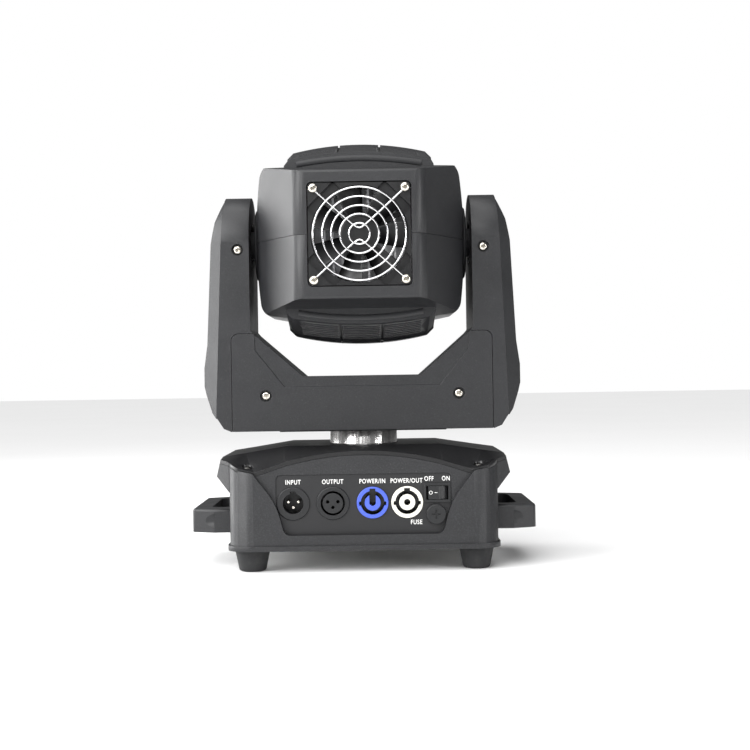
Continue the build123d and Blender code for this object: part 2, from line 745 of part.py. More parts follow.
with BuildPart() as cross_rear_cover:
    add(yoke_rear_half.part)
    extrude(cross_region(facing_back(arm_r), 0), amount=4 * arm_r, mode=Mode.INTERSECT)
    with BuildSketch(facing_back(rear_y)):
        with BuildLine():
            Polyline((0, cross_z - 8.5), (cross_flat + 15.3, cross_z - 8.5), (arm_in - 3.6, cross_z + 21.6),
                     (arm_in - 3.6, cross_z + 60), (0, cross_z + 60), (0, cross_z - 8.5))
        make_face()
        mirror(about=Plane.YZ)
    extrude(amount=-0.8, mode=Mode.SUBTRACT)

with BuildPart() as arm_rear_shells:
    add(yoke_rear_half.part)
    extrude(cross_region(facing_back(arm_r), seam), amount=4 * arm_r, mode=Mode.SUBTRACT)

with BuildPart() as arm_rear_shell_right:
    add(arm_rear_shells.part)
    split(bisect_by=Plane.YZ, keep=Keep.TOP)

with BuildPart() as arm_rear_shell_left:
    mirror(arm_rear_shell_right.part, about=Plane.YZ)

with BuildPart() as yoke_front_cover:
    add(yoke_shell.part)
    split(bisect_by=Plane.XZ.offset(-seam / 2), keep=Keep.BOTTOM)

with BuildPart(facing_back(rear_y)) as yoke_screws:
    with Locations(*yoke_screw_spots, *cross_screw_spots):
        with Locations((0, 0, -3.0)):
            Cylinder(screw_head_r, 2.4, align=(Align.CENTER, Align.CENTER, Align.MIN))
            Cylinder(screw_shaft_r, 8.0, align=(Align.CENTER, Align.CENTER, Align.MAX))
    fillet(yoke_screws.edges().group_by(Axis.Y)[0], 1.2)

# ---- ribbed side covers: they stand on the leaning outer faces of the arms ----
lean_plane = Plane(origin=(arm_out + 5 * lean_slope, 0, arm_top_z), x_dir=(0, 1, 0),
                   z_dir=(1, 0, lean_slope))
rib_pitch = 6.0
rib_groove = 2.2
rib_depth = 1.2


def side_cover_form(inset):
    """Bulging side cover with 45-degree edges, shrunk by inset."""
    with BuildSketch(lean_plane) as profile:
        with Locations((0, -arm_r)):
            Circle(arm_r - inset)
        with Locations((0, -arm_r - (tilt_z - yoke_z) / 2 - 20)):
            Rectangle(2 * (arm_r - inset), tilt_z - yoke_z + 40)
    with BuildPart() as form:
        extrude(profile.sketch, amount=30, taper=45)
        with BuildSketch(facing_back(arm_r)) as silhouette:
            with BuildLine():
                Polyline((arm_in, arm_top_z), (arm_out - 2, arm_top_z), (arm_out + 7.6, tilt_z + 17),
                         (arm_out + side_bulge, tilt_z - 1), (arm_out + side_bulge + 4, tilt_z - 83),
                         (arm_out + side_bulge + 7, yoke_z + 52), (arm_out + side_bulge + 7, yoke_z + 37),
                         (arm_out + side_bulge + 5, yoke_z + 29.5), (arm_out + side_bulge, yoke_z + 15.5),
                         (yoke_half_w + 6, yoke_z + 2.5), (arm_in, yoke_z + 2.5), close=True)
            make_face()
            if inset:
                offset(amount=-inset, kind=Kind.INTERSECTION)
        extrude(silhouette.sketch, amount=2 * arm_r, mode=Mode.INTERSECT)
    return form.part


ribs = int((tilt_z - 1 - (cross_z + 22)) / rib_pitch)
with BuildPart() as rib_grooves:
    for i in range(ribs):
        with Locations((arm_out + 15, 0, tilt_z - 1 - rib_pitch * (ribs - 1 - i))):
            Box(40, 2 * arm_r - 34, rib_groove)
    add(side_cover_form(rib_depth), mode=Mode.SUBTRACT)

with BuildPart() as arm_side_cover_right:
    add(side_cover_form(0))
    add(rib_grooves.part, mode=Mode.SUBTRACT)
    add(side_cover_form(rib_depth + yoke_wall - 1), mode=Mode.SUBTRACT)

with BuildPart() as arm_side_cover_left:
    mirror(arm_side_cover_right.part, about=Plane.YZ)

# ======================= yoke: inside =======================
frame_z = yoke_z + yoke_wall + 0.3
sheet_in = arm_in + yoke_wall + 0.3
sheet_half_y = 25.0
tilt_motor_z = frame_z + plate_t + motor_side / 2
pulley_x = sheet_in + plate_t + 4.0

with BuildPart() as yoke_frame:
    with BuildSketch(Plane.XY.offset(frame_z)):
        Rectangle(2 * (sheet_in + plate_t), 2 * sheet_half_y)
        Circle(tube_bore_r, mode=Mode.SUBTRACT)
    extrude(amount=plate_t)
    with BuildSketch(facing_right(sheet_in)):
        with Locations((0, tilt_z)):
            Circle(sheet_half_y)
        with Locations((0, (frame_z + tilt_z) / 2)):
            Rectangle(2 * sheet_half_y, tilt_z - frame_z)
        with Locations((0, tilt_z)):
            Circle(tilt_bearing_r, mode=Mode.SUBTRACT)
        with Locations((0, tilt_motor_z)):
            Circle(6.0, mode=Mode.SUBTRACT)
    extrude(amount=plate_t)
    mirror(about=Plane.YZ)

with BuildPart() as tilt_bearings:
    with BuildSketch(facing_right(sheet_in)):
        with Locations((0, tilt_z)):
            Circle(tilt_bearing_r)
            Circle(shaft_r + running_fit, mode=Mode.SUBTRACT)
    extrude(amount=5)
    mirror(about=Plane.YZ)

with BuildPart() as pan_tube:
    with BuildSketch(Plane.XY.offset(pulley_z - 2)):
        Circle(tube_r)
        Circle(tube_bore_r, mode=Mode.SUBTRACT)
    extrude(amount=frame_z - pulley_z + 2)
    for z, height, radius in ((pulley_z - 2, 2, 3.0), (pulley_z, 8, 0.0), (pulley_z + 8, 2, 3.0)):
        with BuildSketch(Plane.XY.offset(z)):
            Circle(pan_pulley_r + radius)
            Circle(tube_bore_r, mode=Mode.SUBTRACT)
        extrude(amount=height)

with BuildPart() as tilt_motor:
    with BuildSketch(facing_right(-sheet_in, tilt_motor_z)):
        Rectangle(motor_side, motor_side)
    extrude(amount=motor_len)
    chamfer(tilt_motor.edges().filter_by(Axis.X), 4.0)
    with BuildSketch(facing_right(-sheet_in, tilt_motor_z)):
        Circle(motor_shaft_r + running_fit)
    extrude(amount=motor_len - 4, mode=Mode.SUBTRACT)

with BuildPart() as tilt_pinion:
    with BuildSketch(facing_right(-pulley_x - belt_w - 0.5, tilt_motor_z)):
        Circle(tilt_pinion_r)
    extrude(amount=belt_w + 1)
    with BuildSketch(facing_right(-pulley_x - belt_w - 1.5, tilt_motor_z)):
        Circle(tilt_pinion_r + 2.5)
    extrude(amount=1)
    with BuildSketch(facing_right(-pulley_x, tilt_motor_z)):
        Circle(motor_shaft_r)
    extrude(amount=pulley_x - sheet_in + 20)

with BuildPart() as tilt_belt:
    with BuildSketch(facing_right(-pulley_x - belt_w)):
        with Locations((0, tilt_z)):
            Circle(tilt_pulley_r + belt_gap + belt_t)
        with Locations((0, tilt_motor_z)):
            Circle(tilt_pinion_r + belt_gap + belt_t)
        make_hull()
    extrude(amount=belt_w)
    with BuildSketch(facing_right(-pulley_x - belt_w)):
        with Locations((0, tilt_z)):
            Circle(tilt_pulley_r + belt_gap)
        with Locations((0, tilt_motor_z)):
            Circle(tilt_pinion_r + belt_gap)
        make_hull()
    extrude(amount=belt_w, mode=Mode.SUBTRACT)

# ======================= head: outer forms =======================
cheek_x = 49.0             # where the sloping cheeks would meet the rear face
cheek_front_y = 28.0       # cheeks end this far behind the tilt axis
nose_x = 55.0              # half width of the front face
face_half_z = 50.0         # half height of the rear face
side_half_z = 51.0         # height of the bulging sides
side_in = 3.4              # the sides come in by this at their ends
shoulder_x = head_half_x - 9.0
shoulder_half_z = head_half_z - 5.5


def head_form(inset):
    """Head as the common part of its plan, its side view and its rear view.

    The plan and the side view stand 1 mm outside the curved rear view, which sets the width."""
    with BuildSketch(Plane.XY.offset(tilt_z - head_half_z - 10)) as plan:
        with BuildLine():
            Polyline((0, -head_rear), (cheek_x, -head_rear), (head_half_x + 1, -cheek_front_y),
                     (head_half_x + 1, 22), (nose_x, head_front), (0, head_front), (0, -head_rear))
        make_face()
        mirror(about=Plane.YZ)
        fillet(plan.vertices().sort_by(Axis.Y)[:2], 12)
        fillet(plan.vertices().filter_by(lambda v: abs(v.X) > head_half_x), 16)
        if inset:
            offset(amount=-inset, kind=Kind.INTERSECTION)
    with BuildSketch(facing_right(-head_half_x - 10, tilt_z)) as side:
        with BuildLine():
            Polyline((-head_rear, 0), (-head_rear, face_half_z), (-2, head_half_z + 1),
                     (44, head_half_z + 1), (head_front, head_half_z - 8), (head_front, 0), (-head_rear, 0))
        make_face()
        mirror(about=Plane.XZ)
        fillet(side.vertices().filter_by(lambda v: abs(v.Y) > face_half_z + 9), 9)
        fillet(side.vertices().filter_by(lambda v: v.X < 1 - head_rear), 2.4)
        if inset:
            offset(amount=-inset, kind=Kind.INTERSECTION)
    with BuildSketch(facing_back(head_front + 10, tilt_z)) as back:
        with BuildLine():
            ThreePointArc((head_half_x - side_in, -side_half_z), (head_half_x, 0), (head_half_x - side_in, side_half_z))
            TangentArc((head_half_x - side_in, side_half_z), (shoulder_x, shoulder_half_z), tangent=(-0.14, 1))
            ThreePointArc((shoulder_x, shoulder_half_z), (0, head_half_z), (-shoulder_x, shoulder_half_z))
            TangentArc((side_in - head_half_x, side_half_z), (-shoulder_x, shoulder_half_z), tangent=(0.14, 1))
            ThreePointArc((side_in - head_half_x, side_half_z), (-head_half_x, 0), (side_in - head_half_x, -side_half_z))
            TangentArc((side_in - head_half_x, -side_half_z), (-shoulder_x, -shoulder_half_z), tangent=(0.14, -1))
            ThreePointArc((-shoulder_x, -shoulder_half_z), (0, -head_half_z), (shoulder_x, -shoulder_half_z))
            TangentArc((head_half_x - side_in, -side_half_z), (shoulder_x, -shoulder_half_z), tangent=(-0.14, -1))
        make_face()
        if inset:
            offset(amount=-inset, kind=Kind.INTERSECTION)
    with BuildPart() as form:
        extrude(plan.sketch, amount=2 * head_half_z + 20)
        extrude(side.sketch, amount=2 * head_half_x + 20, mode=Mode.INTERSECT)
        extrude(back.sketch, amount=head_front + head_rear + 20, mode=Mode.INTERSECT)
    return form.part


# ---- vent hoods: lofted humps above and below the head ----
hood_half_x = 60.0
slat_half_x = 55.0
hood_stations = (          # distance along Y, height of the crest, height of the sides
    (-56.0, 68.7, 63.5), (-11.0, 80.0, 74.2), (-7.0, 83.0, 76.5), (22.0, 83.0, 76.5), (54.0, 68.0, 62.5))


def hood_form(inset):
    sections = []
    for y, crest, side in hood_stations:
        along = y + inset if y < 0 else y - inset
        low = head_half_z - 16
        with BuildSketch(facing_back(along, tilt_z)) as section:
            with BuildLine():
                Polyline((-slat_half_x + inset, side - inset), (inset - hood_half_x, side - 5 - inset),
                         (inset - hood_half_x, low), (hood_half_x - inset, low),
                         (hood_half_x - inset, side - 5 - inset), (slat_half_x - inset, side - inset))
                ThreePointArc((slat_half_x - inset, side - inset), (0, crest - inset),
                              (inset - slat_half_x, side - inset))
            make_face()
        sections.append(section.sketch)
    with BuildPart() as form:
        loft(sections, ruled=True)
    return form.part


slat_pitch = 5.0
slat_gap = 2.4
vent_bar = 2.9
vent_half_x = 49.0
vent_span = (2 * vent_half_x - 2 * vent_bar) / 3
slat_first_y = hood_stations[0][0] + 8.0
slat_rows = 8
head_outer = head_form(0)
head_inner = head_form(head_wall)
hub_hole_r = 22.0

with BuildPart() as hood_slots:
    for i in range(slat_rows):
        with BuildSketch(Plane.XY.offset(tilt_z + head_half_z)):
            with Locations((0, slat_first_y + i * slat_pitch)):
                with GridLocations(vent_span + vent_bar, 0, 3, 1):
                    SlotOverall(vent_span, slat_gap)
        extrude(amount=25)

notch_w = 1.6              # grooves that part the slatted panels
notch_depth = 1.4
with BuildPart() as hood_notches:
    with Locations((0, -14, tilt_z + head_half_z + 10)):
        with GridLocations(vent_span + vent_bar, 0, 2, 1):
            Box(notch_w, 72, 40)
    add(hood_form(notch_depth), mode=Mode.SUBTRACT)

with BuildPart() as upper_vent_hood:
    add(hood_form(0))
    add(hood_form(head_wall), mode=Mode.SUBTRACT)
    add(hood_slots.part, mode=Mode.SUBTRACT)
    add(hood_notches.part, mode=Mode.SUBTRACT)
    add(head_outer, mode=Mode.SUBTRACT)

with BuildPart() as lower_vent_hood:
    mirror(upper_vent_hood.part, about=Plane.XY.offset(tilt_z))

# ======================= head: mouldings =======================
with BuildPart() as head_shell:
    add(head_outer)
    add(head_inner, mode=Mode.SUBTRACT)
    with BuildSketch(facing_back(-head_rear - 1, tilt_z)):
        RectangleRounded(fan_side + 1.6, fan_side + 1.6, 4.0)
    extrude(amount=-head_wall - 4, mode=Mode.SUBTRACT)
    with BuildSketch(facing_front(head_front + 1, tilt_z)):
        Circle(bezel_tube_r)
    extrude(amount=-head_wall - 4, mode=Mode.SUBTRACT)
    with BuildSketch(facing_right(-head_half_x - 1, tilt_z)):
        Circle(hub_hole_r)
    extrude(amount=2 * head_half_x + 2, mode=Mode.SUBTRACT)
    with BuildSketch(Plane.XY.offset(tilt_z - head_half_z - 1)):
        with Locations((0, slat_first_y + (slat_rows - 1) * slat_pitch / 2)):
            Rectangle(2 * vent_half_x - 8, slat_rows * slat_pitch)
    extrude(amount=2 * head_half_z + 2, mode=Mode.SUBTRACT)

with BuildPart() as head_upper_shell:
    add(head_shell.part)
    split(bisect_by=Plane.XY.offset(tilt_z + seam / 2), keep=Keep.TOP)

with BuildPart() as head_lower_shell:
    add(head_shell.part)
    split(bisect_by=Plane.XY.offset(tilt_z - seam / 2), keep=Keep.BOTTOM)

# ---- tilt hubs: a disc outside the shell and a hollow shaft into the arm ----
shaft_end = sheet_in + 5.0
with BuildPart() as tilt_hubs:
    for x, end, radius in ((head_half_x, head_half_x + hub_out, hub_r),
                           (chassis_x, head_half_x, hub_hole_r - 0.2),
                           (head_half_x, shaft_end, shaft_r)):
        with BuildSketch(facing_right(x, tilt_z)):
            Circle(radius)
        extrude(amount=end - x)
    chamfer(tilt_hubs.edges().filter_by(GeomType.CIRCLE).group_by(SortBy.RADIUS)[-1].sort_by(Axis.X)[-1], 1.2)
    with BuildSketch(facing_right(chassis_x, tilt_z)):
        Circle(cable_bore_r)
    extrude(amount=shaft_end - chassis_x, mode=Mode.SUBTRACT)
    mirror(about=Plane.YZ)

with BuildPart() as tilt_pulley:
    for x, end, radius in ((shaft_end, pulley_x - 0.5, shaft_r), (pulley_x - 0.5, pulley_x + belt_w + 0.5, tilt_pulley_r),
                           (pulley_x + belt_w + 0.5, pulley_x + belt_w + 1.5, tilt_pulley_r + 2.5)):
        with BuildSketch(facing_right(-x, tilt_z)):
            Circle(radius)
            Circle(cable_bore_r, mode=Mode.SUBTRACT)
        extrude(amount=x - end)

# ======================= head: inside =======================
chassis_rear_y = -32.0
chassis_front_y = 24.0
chassis_half_z = 44.0
with BuildPart() as head_frame:
    with BuildSketch(Plane.XY.offset(tilt_z - chassis_half_z)):
        with Locations((0, (chassis_rear_y + chassis_front_y) / 2)):
            Rectangle(2 * chassis_x, chassis_front_y - chassis_rear_y)
            Rectangle(2 * (chassis_x - plate_t), chassis_front_y - chassis_rear_y - 2 * plate_t,
                      mode=Mode.SUBTRACT)
    extrude(amount=2 * chassis_half_z)
    with BuildSketch(facing_back(chassis_front_y + 1, tilt_z)):
        Circle(16.0)
        with Locations((wheel_axle, 0), (-wheel_axle, 0)):
            Circle(3.0)
    extrude(amount=plate_t + 4, mode=Mode.SUBTRACT)
    with BuildSketch(facing_back(chassis_rear_y + 5, tilt_z)):
        Rectangle(40, 40)
    extrude(amount=10, mode=Mode.SUBTRACT)
    with BuildSketch(facing_right(-chassis_x - 1, tilt_z)):
        Circle(cable_bore_r)
    extrude(amount=2 * chassis_x + 2, mode=Mode.SUBTRACT)

fan_y = -head_rear + fan_sunk              # rear face of the fan
sink_rear_y = fan_y + fan_t
with BuildPart(facing_back(chassis_rear_y, tilt_z)) as heat_sink:
    Box(sink_side, sink_side, sink_base_t, align=(Align.CENTER, Align.CENTER, Align.MIN))
    with GridLocations(7.0, 0, 9, 1):
        Box(1.6, sink_side, chassis_rear_y - sink_rear_y, align=(Align.CENTER, Align.CENTER, Align.MIN))
    with GridLocations(fan_hole, fan_hole, 2, 2):
        Box(8.4, 8.4, chassis_rear_y - sink_rear_y, align=(Align.CENTER, Align.CENTER, Align.MIN))
    with Locations((0, 0, chassis_rear_y - sink_rear_y)):
        with GridLocations(fan_hole, fan_hole, 2, 2):
            Hole(fan_screw_r, depth=14)

with BuildPart(facing_front(chassis_rear_y, tilt_z)) as led_board:
    Box(38, 38, 3, align=(Align.CENTER, Align.CENTER, Align.MIN))
    with Locations((0, 0, 3)):
        Cylinder(11, 1, align=(Align.CENTER, Align.CENTER, Align.MIN))
        Sphere(9, arc_size1=0, align=(Align.CENTER, Align.CENTER, Align.MIN))

# ---- fan ----
with BuildPart() as fan_frame:
    with BuildSketch(facing_back(fan_y, tilt_z)):
        RectangleRounded(fan_side, fan_side, 3)
        Circle(duct_r, mode=Mode.SUBTRACT)
        with GridLocations(fan_hole, fan_hole, 2, 2):
            Circle(fan_screw_r, mode=Mode.SUBTRACT)
    extrude(amount=-fan_t)
    with BuildSketch(facing_back(fan_y + 4, tilt_z)):
        with GridLocations(fan_side + fan_waist, fan_side + fan_waist, 2, 2):
            with Locations(Location((0, 0), 45)):
                Rectangle(2 * fan_waist, 2 * fan_waist)
        with PolarLocations(fan_side / 2 + 14, 4):
            Rectangle(30, 58)
    extrude(amount=8 - fan_t, mode=Mode.SUBTRACT)
    with BuildSketch(facing_back(fan_y, tilt_z)):
        with PolarLocations(duct_r + 1.5, 4, start_angle=45):
            Rectangle(8, 30)
        with GridLocations(fan_hole, fan_hole, 2, 2):
            Circle(5.2, mode=Mode.SUBTRACT)
    extrude(amount=-3, mode=Mode.SUBTRACT)
    with BuildSketch(facing_back(fan_y + fan_t, tilt_z)):
        Circle(hub_fan_r)
        with PolarLocations(duct_r / 2 + 5, 3, start_angle=30):
            Rectangle(duct_r - 8, 4)
        Circle(2.0 + running_fit, mode=Mode.SUBTRACT)
    extrude(amount=2.6)

blade_root_r = hub_fan_r - 0.8
blade_tip_r = duct_r - 1.0


def blade_section(radius, chord, pitch):
    """Thin section of a blade, square to the radius at which it stands."""
    with BuildSketch(Plane(origin=(radius, 0, -fan_t / 2 + 1.2), x_dir=(0, 1, 0), z_dir=(1, 0, 0))) as section:
        with Locations(Location((0, 0), pitch)):
            SlotOverall(chord, 1.3)
    return section.sketch


with BuildPart() as fan_blade:
    loft([blade_section(blade_root_r, 17.0, 48), blade_section((blade_root_r + blade_tip_r) / 2, 21.0, 38),
          blade_section(blade_tip_r - 0.5, 24.0, 30)])

with BuildPart(facing_back(fan_y, tilt_z)) as fan_impeller:
    with Locations((0, 0, -1.2)):
        Cylinder(hub_fan_r, fan_t - 5.2, align=(Align.CENTER, Align.CENTER, Align.MAX))
        Cylinder(2.0, fan_t - 1.8, align=(Align.CENTER, Align.CENTER, Align.MAX))
    fillet(fan_impeller.edges().filter_by(GeomType.CIRCLE).group_by(Axis.Y)[0], 1.5)
    with PolarLocations(0, blades):
        add(fan_blade.part)

# ---- wire guard: flat rings on top of two bent wires with an eyelet at every screw ----
eyelet_x = fan_hole / 2 - eyelet_r * 0.7
with BuildPart() as fan_guard:
    with BuildSketch(facing_back(fan_y - wire_r, tilt_z)):
        for radius in (36.3, 29.0, 22.0, 15.3, 8.2):
            Circle(radius + wire_r)
            Circle(radius - wire_r, mode=Mode.SUBTRACT)
    extrude(amount=2 * wire_r)
    with BuildSketch(facing_back(fan_y, tilt_z)) as crossings:
        for turn in (1, -1):
            with BuildLine():
                Polyline((-eyelet_x, turn * eyelet_x), (0, turn * 3.0), (eyelet_x, turn * eyelet_x))
            trace(line_width=2 * wire_r)
        with GridLocations(fan_hole, fan_hole, 2, 2):
            Circle(eyelet_r + wire_r)
        with GridLocations(fan_hole, fan_hole, 2, 2):
            Circle(eyelet_r - wire_r, mode=Mode.SUBTRACT)
    extrude(amount=2 * wire_r)

with BuildPart(facing_back(fan_y, tilt_z)) as fan_screws:
    with GridLocations(fan_hole, fan_hole, 2, 2):
        with Locations((0, 0, 2 * wire_r)):
            Cylinder(3.7, head_reach - head_rear + fan_sunk - 2 * wire_r, align=(Align.CENTER, Align.CENTER, Align.MIN))
            Cylinder(fan_screw_r, fan_t + 2 * wire_r + 8, align=(Align.CENTER, Align.CENTER, Align.MAX))
    fillet(fan_screws.edges().group_by(Axis.Y)[0], 1.0)

# ---- colour and gobo wheels on their small motors ----
wheel_r = 38.0
colour_y = -16.0
gobo_y = -9.0
wheel_motor_y = 4.0


def filter_wheel(x, y, hole, count):
    """Thin wheel with a ring of holes; one of them stands in the light path."""
    with BuildPart(facing_back(y, tilt_z)) as wheel:
        with BuildSketch(facing_back(y, tilt_z)):
            with Locations((x, 0)):
                Circle(wheel_r)
                with PolarLocations(wheel_axle, count, start_angle=180 if x > 0 else 0):
                    Circle(hole, mode=Mode.SUBTRACT)
        extrude(amount=-1.2)
        with Locations((x, 0)):
            Cylinder(5.0, 2.4, align=(Align.CENTER, Align.CENTER, Align.MAX))
            with Locations((0, 0, -1.0)):
                Cylinder(motor_shaft_r, wheel_motor_y + 8 - y, align=(Align.CENTER, Align.CENTER, Align.MAX))
    return wheel


colour_wheel = filter_wheel(wheel_axle, colour_y, 8.5, 8)
gobo_wheel = filter_wheel(-wheel_axle, gobo_y, 7.5, 7)

with BuildPart(facing_back(wheel_motor_y, tilt_z)) as wheel_motors:
    with Locations((wheel_axle, 0), (-wheel_axle, 0)):
        Cylinder(12.0, chassis_front_y - plate_t - wheel_motor_y, align=(Align.CENTER, Align.CENTER, Align.MAX))
        Hole(motor_shaft_r + running_fit, depth=12)

# ---- front ring with its lens ----
with BuildPart(facing_front(head_front, tilt_z)) as front_bezel:
    Cylinder(bezel_r, head_reach - head_front, align=(Align.CENTER, Align.CENTER, Align.MIN))
    Cylinder(bezel_tube_r, head_front - chassis_front_y, align=(Align.CENTER, Align.CENTER, Align.MAX))
    fillet(front_bezel.edges().filter_by(GeomType.CIRCLE).group_by(Axis.Y)[-1], 2.0)
    with Locations((0, 0, head_reach - head_front)):
        Hole(lens_r - 1.5, depth=200)
    with Locations((0, 0, head_reach - head_front)):
        Cylinder(lens_r + 2, 3.0, align=(Align.CENTER, Align.CENTER, Align.MAX), mode=Mode.SUBTRACT)
    with Locations((0, 0, 1.0)):
        Cylinder(lens_r, head_reach - head_front, align=(Align.CENTER, Align.CENTER, Align.MIN), mode=Mode.SUBTRACT)

lens_y = head_front + 1.0
with BuildPart() as front_lens:
    with BuildSketch(facing_right(0, tilt_z)) as lens_half:
        with BuildLine():
            Polyline((lens_y - 9.0, 0), (lens_y + 3.4, 0), (lens_y + 3.4, lens_r), (lens_y, lens_r),
                     (lens_y, lens_r - 1.6), (lens_y - 2.0, lens_r - 1.6))
            TangentArc((lens_y - 9.0, 0), (lens_y - 2.0, lens_r - 1.6), tangent=(0, 1))
        make_face()
    revolve(lens_half.sketch, axis=Axis((0, 0, tilt_z), (0, 1, 0)))

save(base_housing, "base_housing")
save(base_top_cover, "base_top_cover")
save(base_bottom_plate, "base_bottom_plate")
save(base_feet, "base_feet")
save(base_cover_screws, "base_cover_screws")
save(side_handle_right, "side_handle_right")
save(side_handle_left, "side_handle_left")
save(connector_panel, "connector_panel")
save(xlr_in_socket, "xlr_in_socket")
save(xlr_in_pins, "xlr_in_pins")
save(xlr_out_socket, "xlr_out_socket")
save(power_in_socket, "power_in_socket")
save(power_out_socket, "power_out_socket")
save(switch_frame, "switch_frame")
save(switch_rocker, "switch_rocker")
save(fuse_cap, "fuse_cap")
save(display_panel, "display_panel")
save(display_screen, "display_screen")
save(button_menu, "button_menu")
save(button_down, "button_down")
save(button_up, "button_up")
save(button_enter, "button_enter")
save(bearing_plate, "bearing_plate")
save(pan_bearing, "pan_bearing")
save(pan_motor, "pan_motor")
save(pan_pinion, "pan_pinion")
save(pan_belt, "pan_belt")
save(power_supply, "power_supply")
save(main_board, "main_board")
save(cross_rear_cover, "cross_rear_cover")
save(arm_rear_shell_right, "arm_rear_shell_right")
save(arm_rear_shell_left, "arm_rear_shell_left")
save(yoke_front_cover, "yoke_front_cover")
save(yoke_screws, "yoke_screws")
save(arm_side_cover_right, "arm_side_cover_right")
save(arm_side_cover_left, "arm_side_cover_left")
save(yoke_frame, "yoke_frame")
save(tilt_bearings, "tilt_bearings")
save(pan_tube, "pan_tube")
save(tilt_motor, "tilt_motor")
save(tilt_pinion, "tilt_pinion")
save(tilt_belt, "tilt_belt")
save(head_upper_shell, "head_upper_shell")
save(head_lower_shell, "head_lower_shell")
save(upper_vent_hood, "upper_vent_hood")
save(lower_vent_hood, "lower_vent_hood")
save(tilt_hubs, "tilt_hubs")
save(tilt_pulley, "tilt_pulley")
save(head_frame, "head_frame")
save(heat_sink, "heat_sink")
save(led_board, "led_board")
save(fan_frame, "fan_frame")
save(fan_impeller, "fan_impeller")
save(fan_guard, "fan_guard")
save(fan_screws, "fan_screws")
save(colour_wheel, "colour_wheel")
save(gobo_wheel, "gobo_wheel")
save(wheel_motors, "wheel_motors")
save(front_bezel, "front_bezel")
save(front_lens, "front_lens")
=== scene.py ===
import json
import math

import bmesh
import bpy
from mathutils import Matrix, Vector


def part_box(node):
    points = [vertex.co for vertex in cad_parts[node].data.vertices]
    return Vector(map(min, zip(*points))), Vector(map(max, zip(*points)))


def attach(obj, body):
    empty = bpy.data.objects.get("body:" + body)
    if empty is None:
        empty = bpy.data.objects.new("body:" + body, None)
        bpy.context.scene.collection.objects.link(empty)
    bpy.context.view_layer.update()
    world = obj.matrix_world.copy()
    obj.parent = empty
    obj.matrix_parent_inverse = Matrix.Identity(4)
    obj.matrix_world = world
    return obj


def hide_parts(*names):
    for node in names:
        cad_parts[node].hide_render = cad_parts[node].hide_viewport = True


bl_info = {
    "name": "Moving head light",
    "version": (1, 0, 0),
    "blender": (4, 5, 0),
    "location": "3D View > Sidebar > Moving head",
    "description": "Finishes, wire guard, screws, markings and studio for a moving head stage light",
    "category": "Object",
}

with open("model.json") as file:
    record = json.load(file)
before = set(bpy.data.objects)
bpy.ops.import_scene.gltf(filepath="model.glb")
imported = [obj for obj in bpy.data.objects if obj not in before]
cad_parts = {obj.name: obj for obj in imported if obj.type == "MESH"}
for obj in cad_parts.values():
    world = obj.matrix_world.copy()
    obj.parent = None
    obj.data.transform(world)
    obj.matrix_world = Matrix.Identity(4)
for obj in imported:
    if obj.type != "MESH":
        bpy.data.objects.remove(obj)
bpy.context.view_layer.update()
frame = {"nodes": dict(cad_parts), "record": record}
NODES = frame["nodes"]
BODY_OF = {node: body for body, nodes in frame["record"]["behaviour"]["bodies"].items() for node in nodes}
SLOT_OF = {part["node"]: part["material_slot"] for part in frame["record"]["subparts"]}
IN_SLOT = {slot: [n for n in SLOT_OF if SLOT_OF[n] == slot] for slot in set(SLOT_OF.values())}
MM = 0.001


# ---------------------------------------------------------------- shader maths
class Value:
    """A node socket that Python operators can work on; each operator adds one Math node."""

    def __init__(self, tree, socket):
        self.tree = tree
        self.socket = socket

    def math(self, operation, *terms):
        node = self.tree.nodes.new("ShaderNodeMath")
        node.operation = operation
        for plug, term in zip(node.inputs, terms):
            if isinstance(term, Value):
                self.tree.links.new(term.socket, plug)
            else:
                plug.default_value = term
        return Value(self.tree, node.outputs[0])

    def __add__(self, other):
        return self.math("ADD", self, other)

    def __sub__(self, other):
        return self.math("SUBTRACT", self, other)

    def __rsub__(self, other):
        return self.math("SUBTRACT", other, self)

    def __mul__(self, other):
        return self.math("MULTIPLY", self, other)

    __radd__ = __add__
    __rmul__ = __mul__

    def clip(self):
        return self.math("MINIMUM", self.math("MAXIMUM", self, 0.0), 1.0)


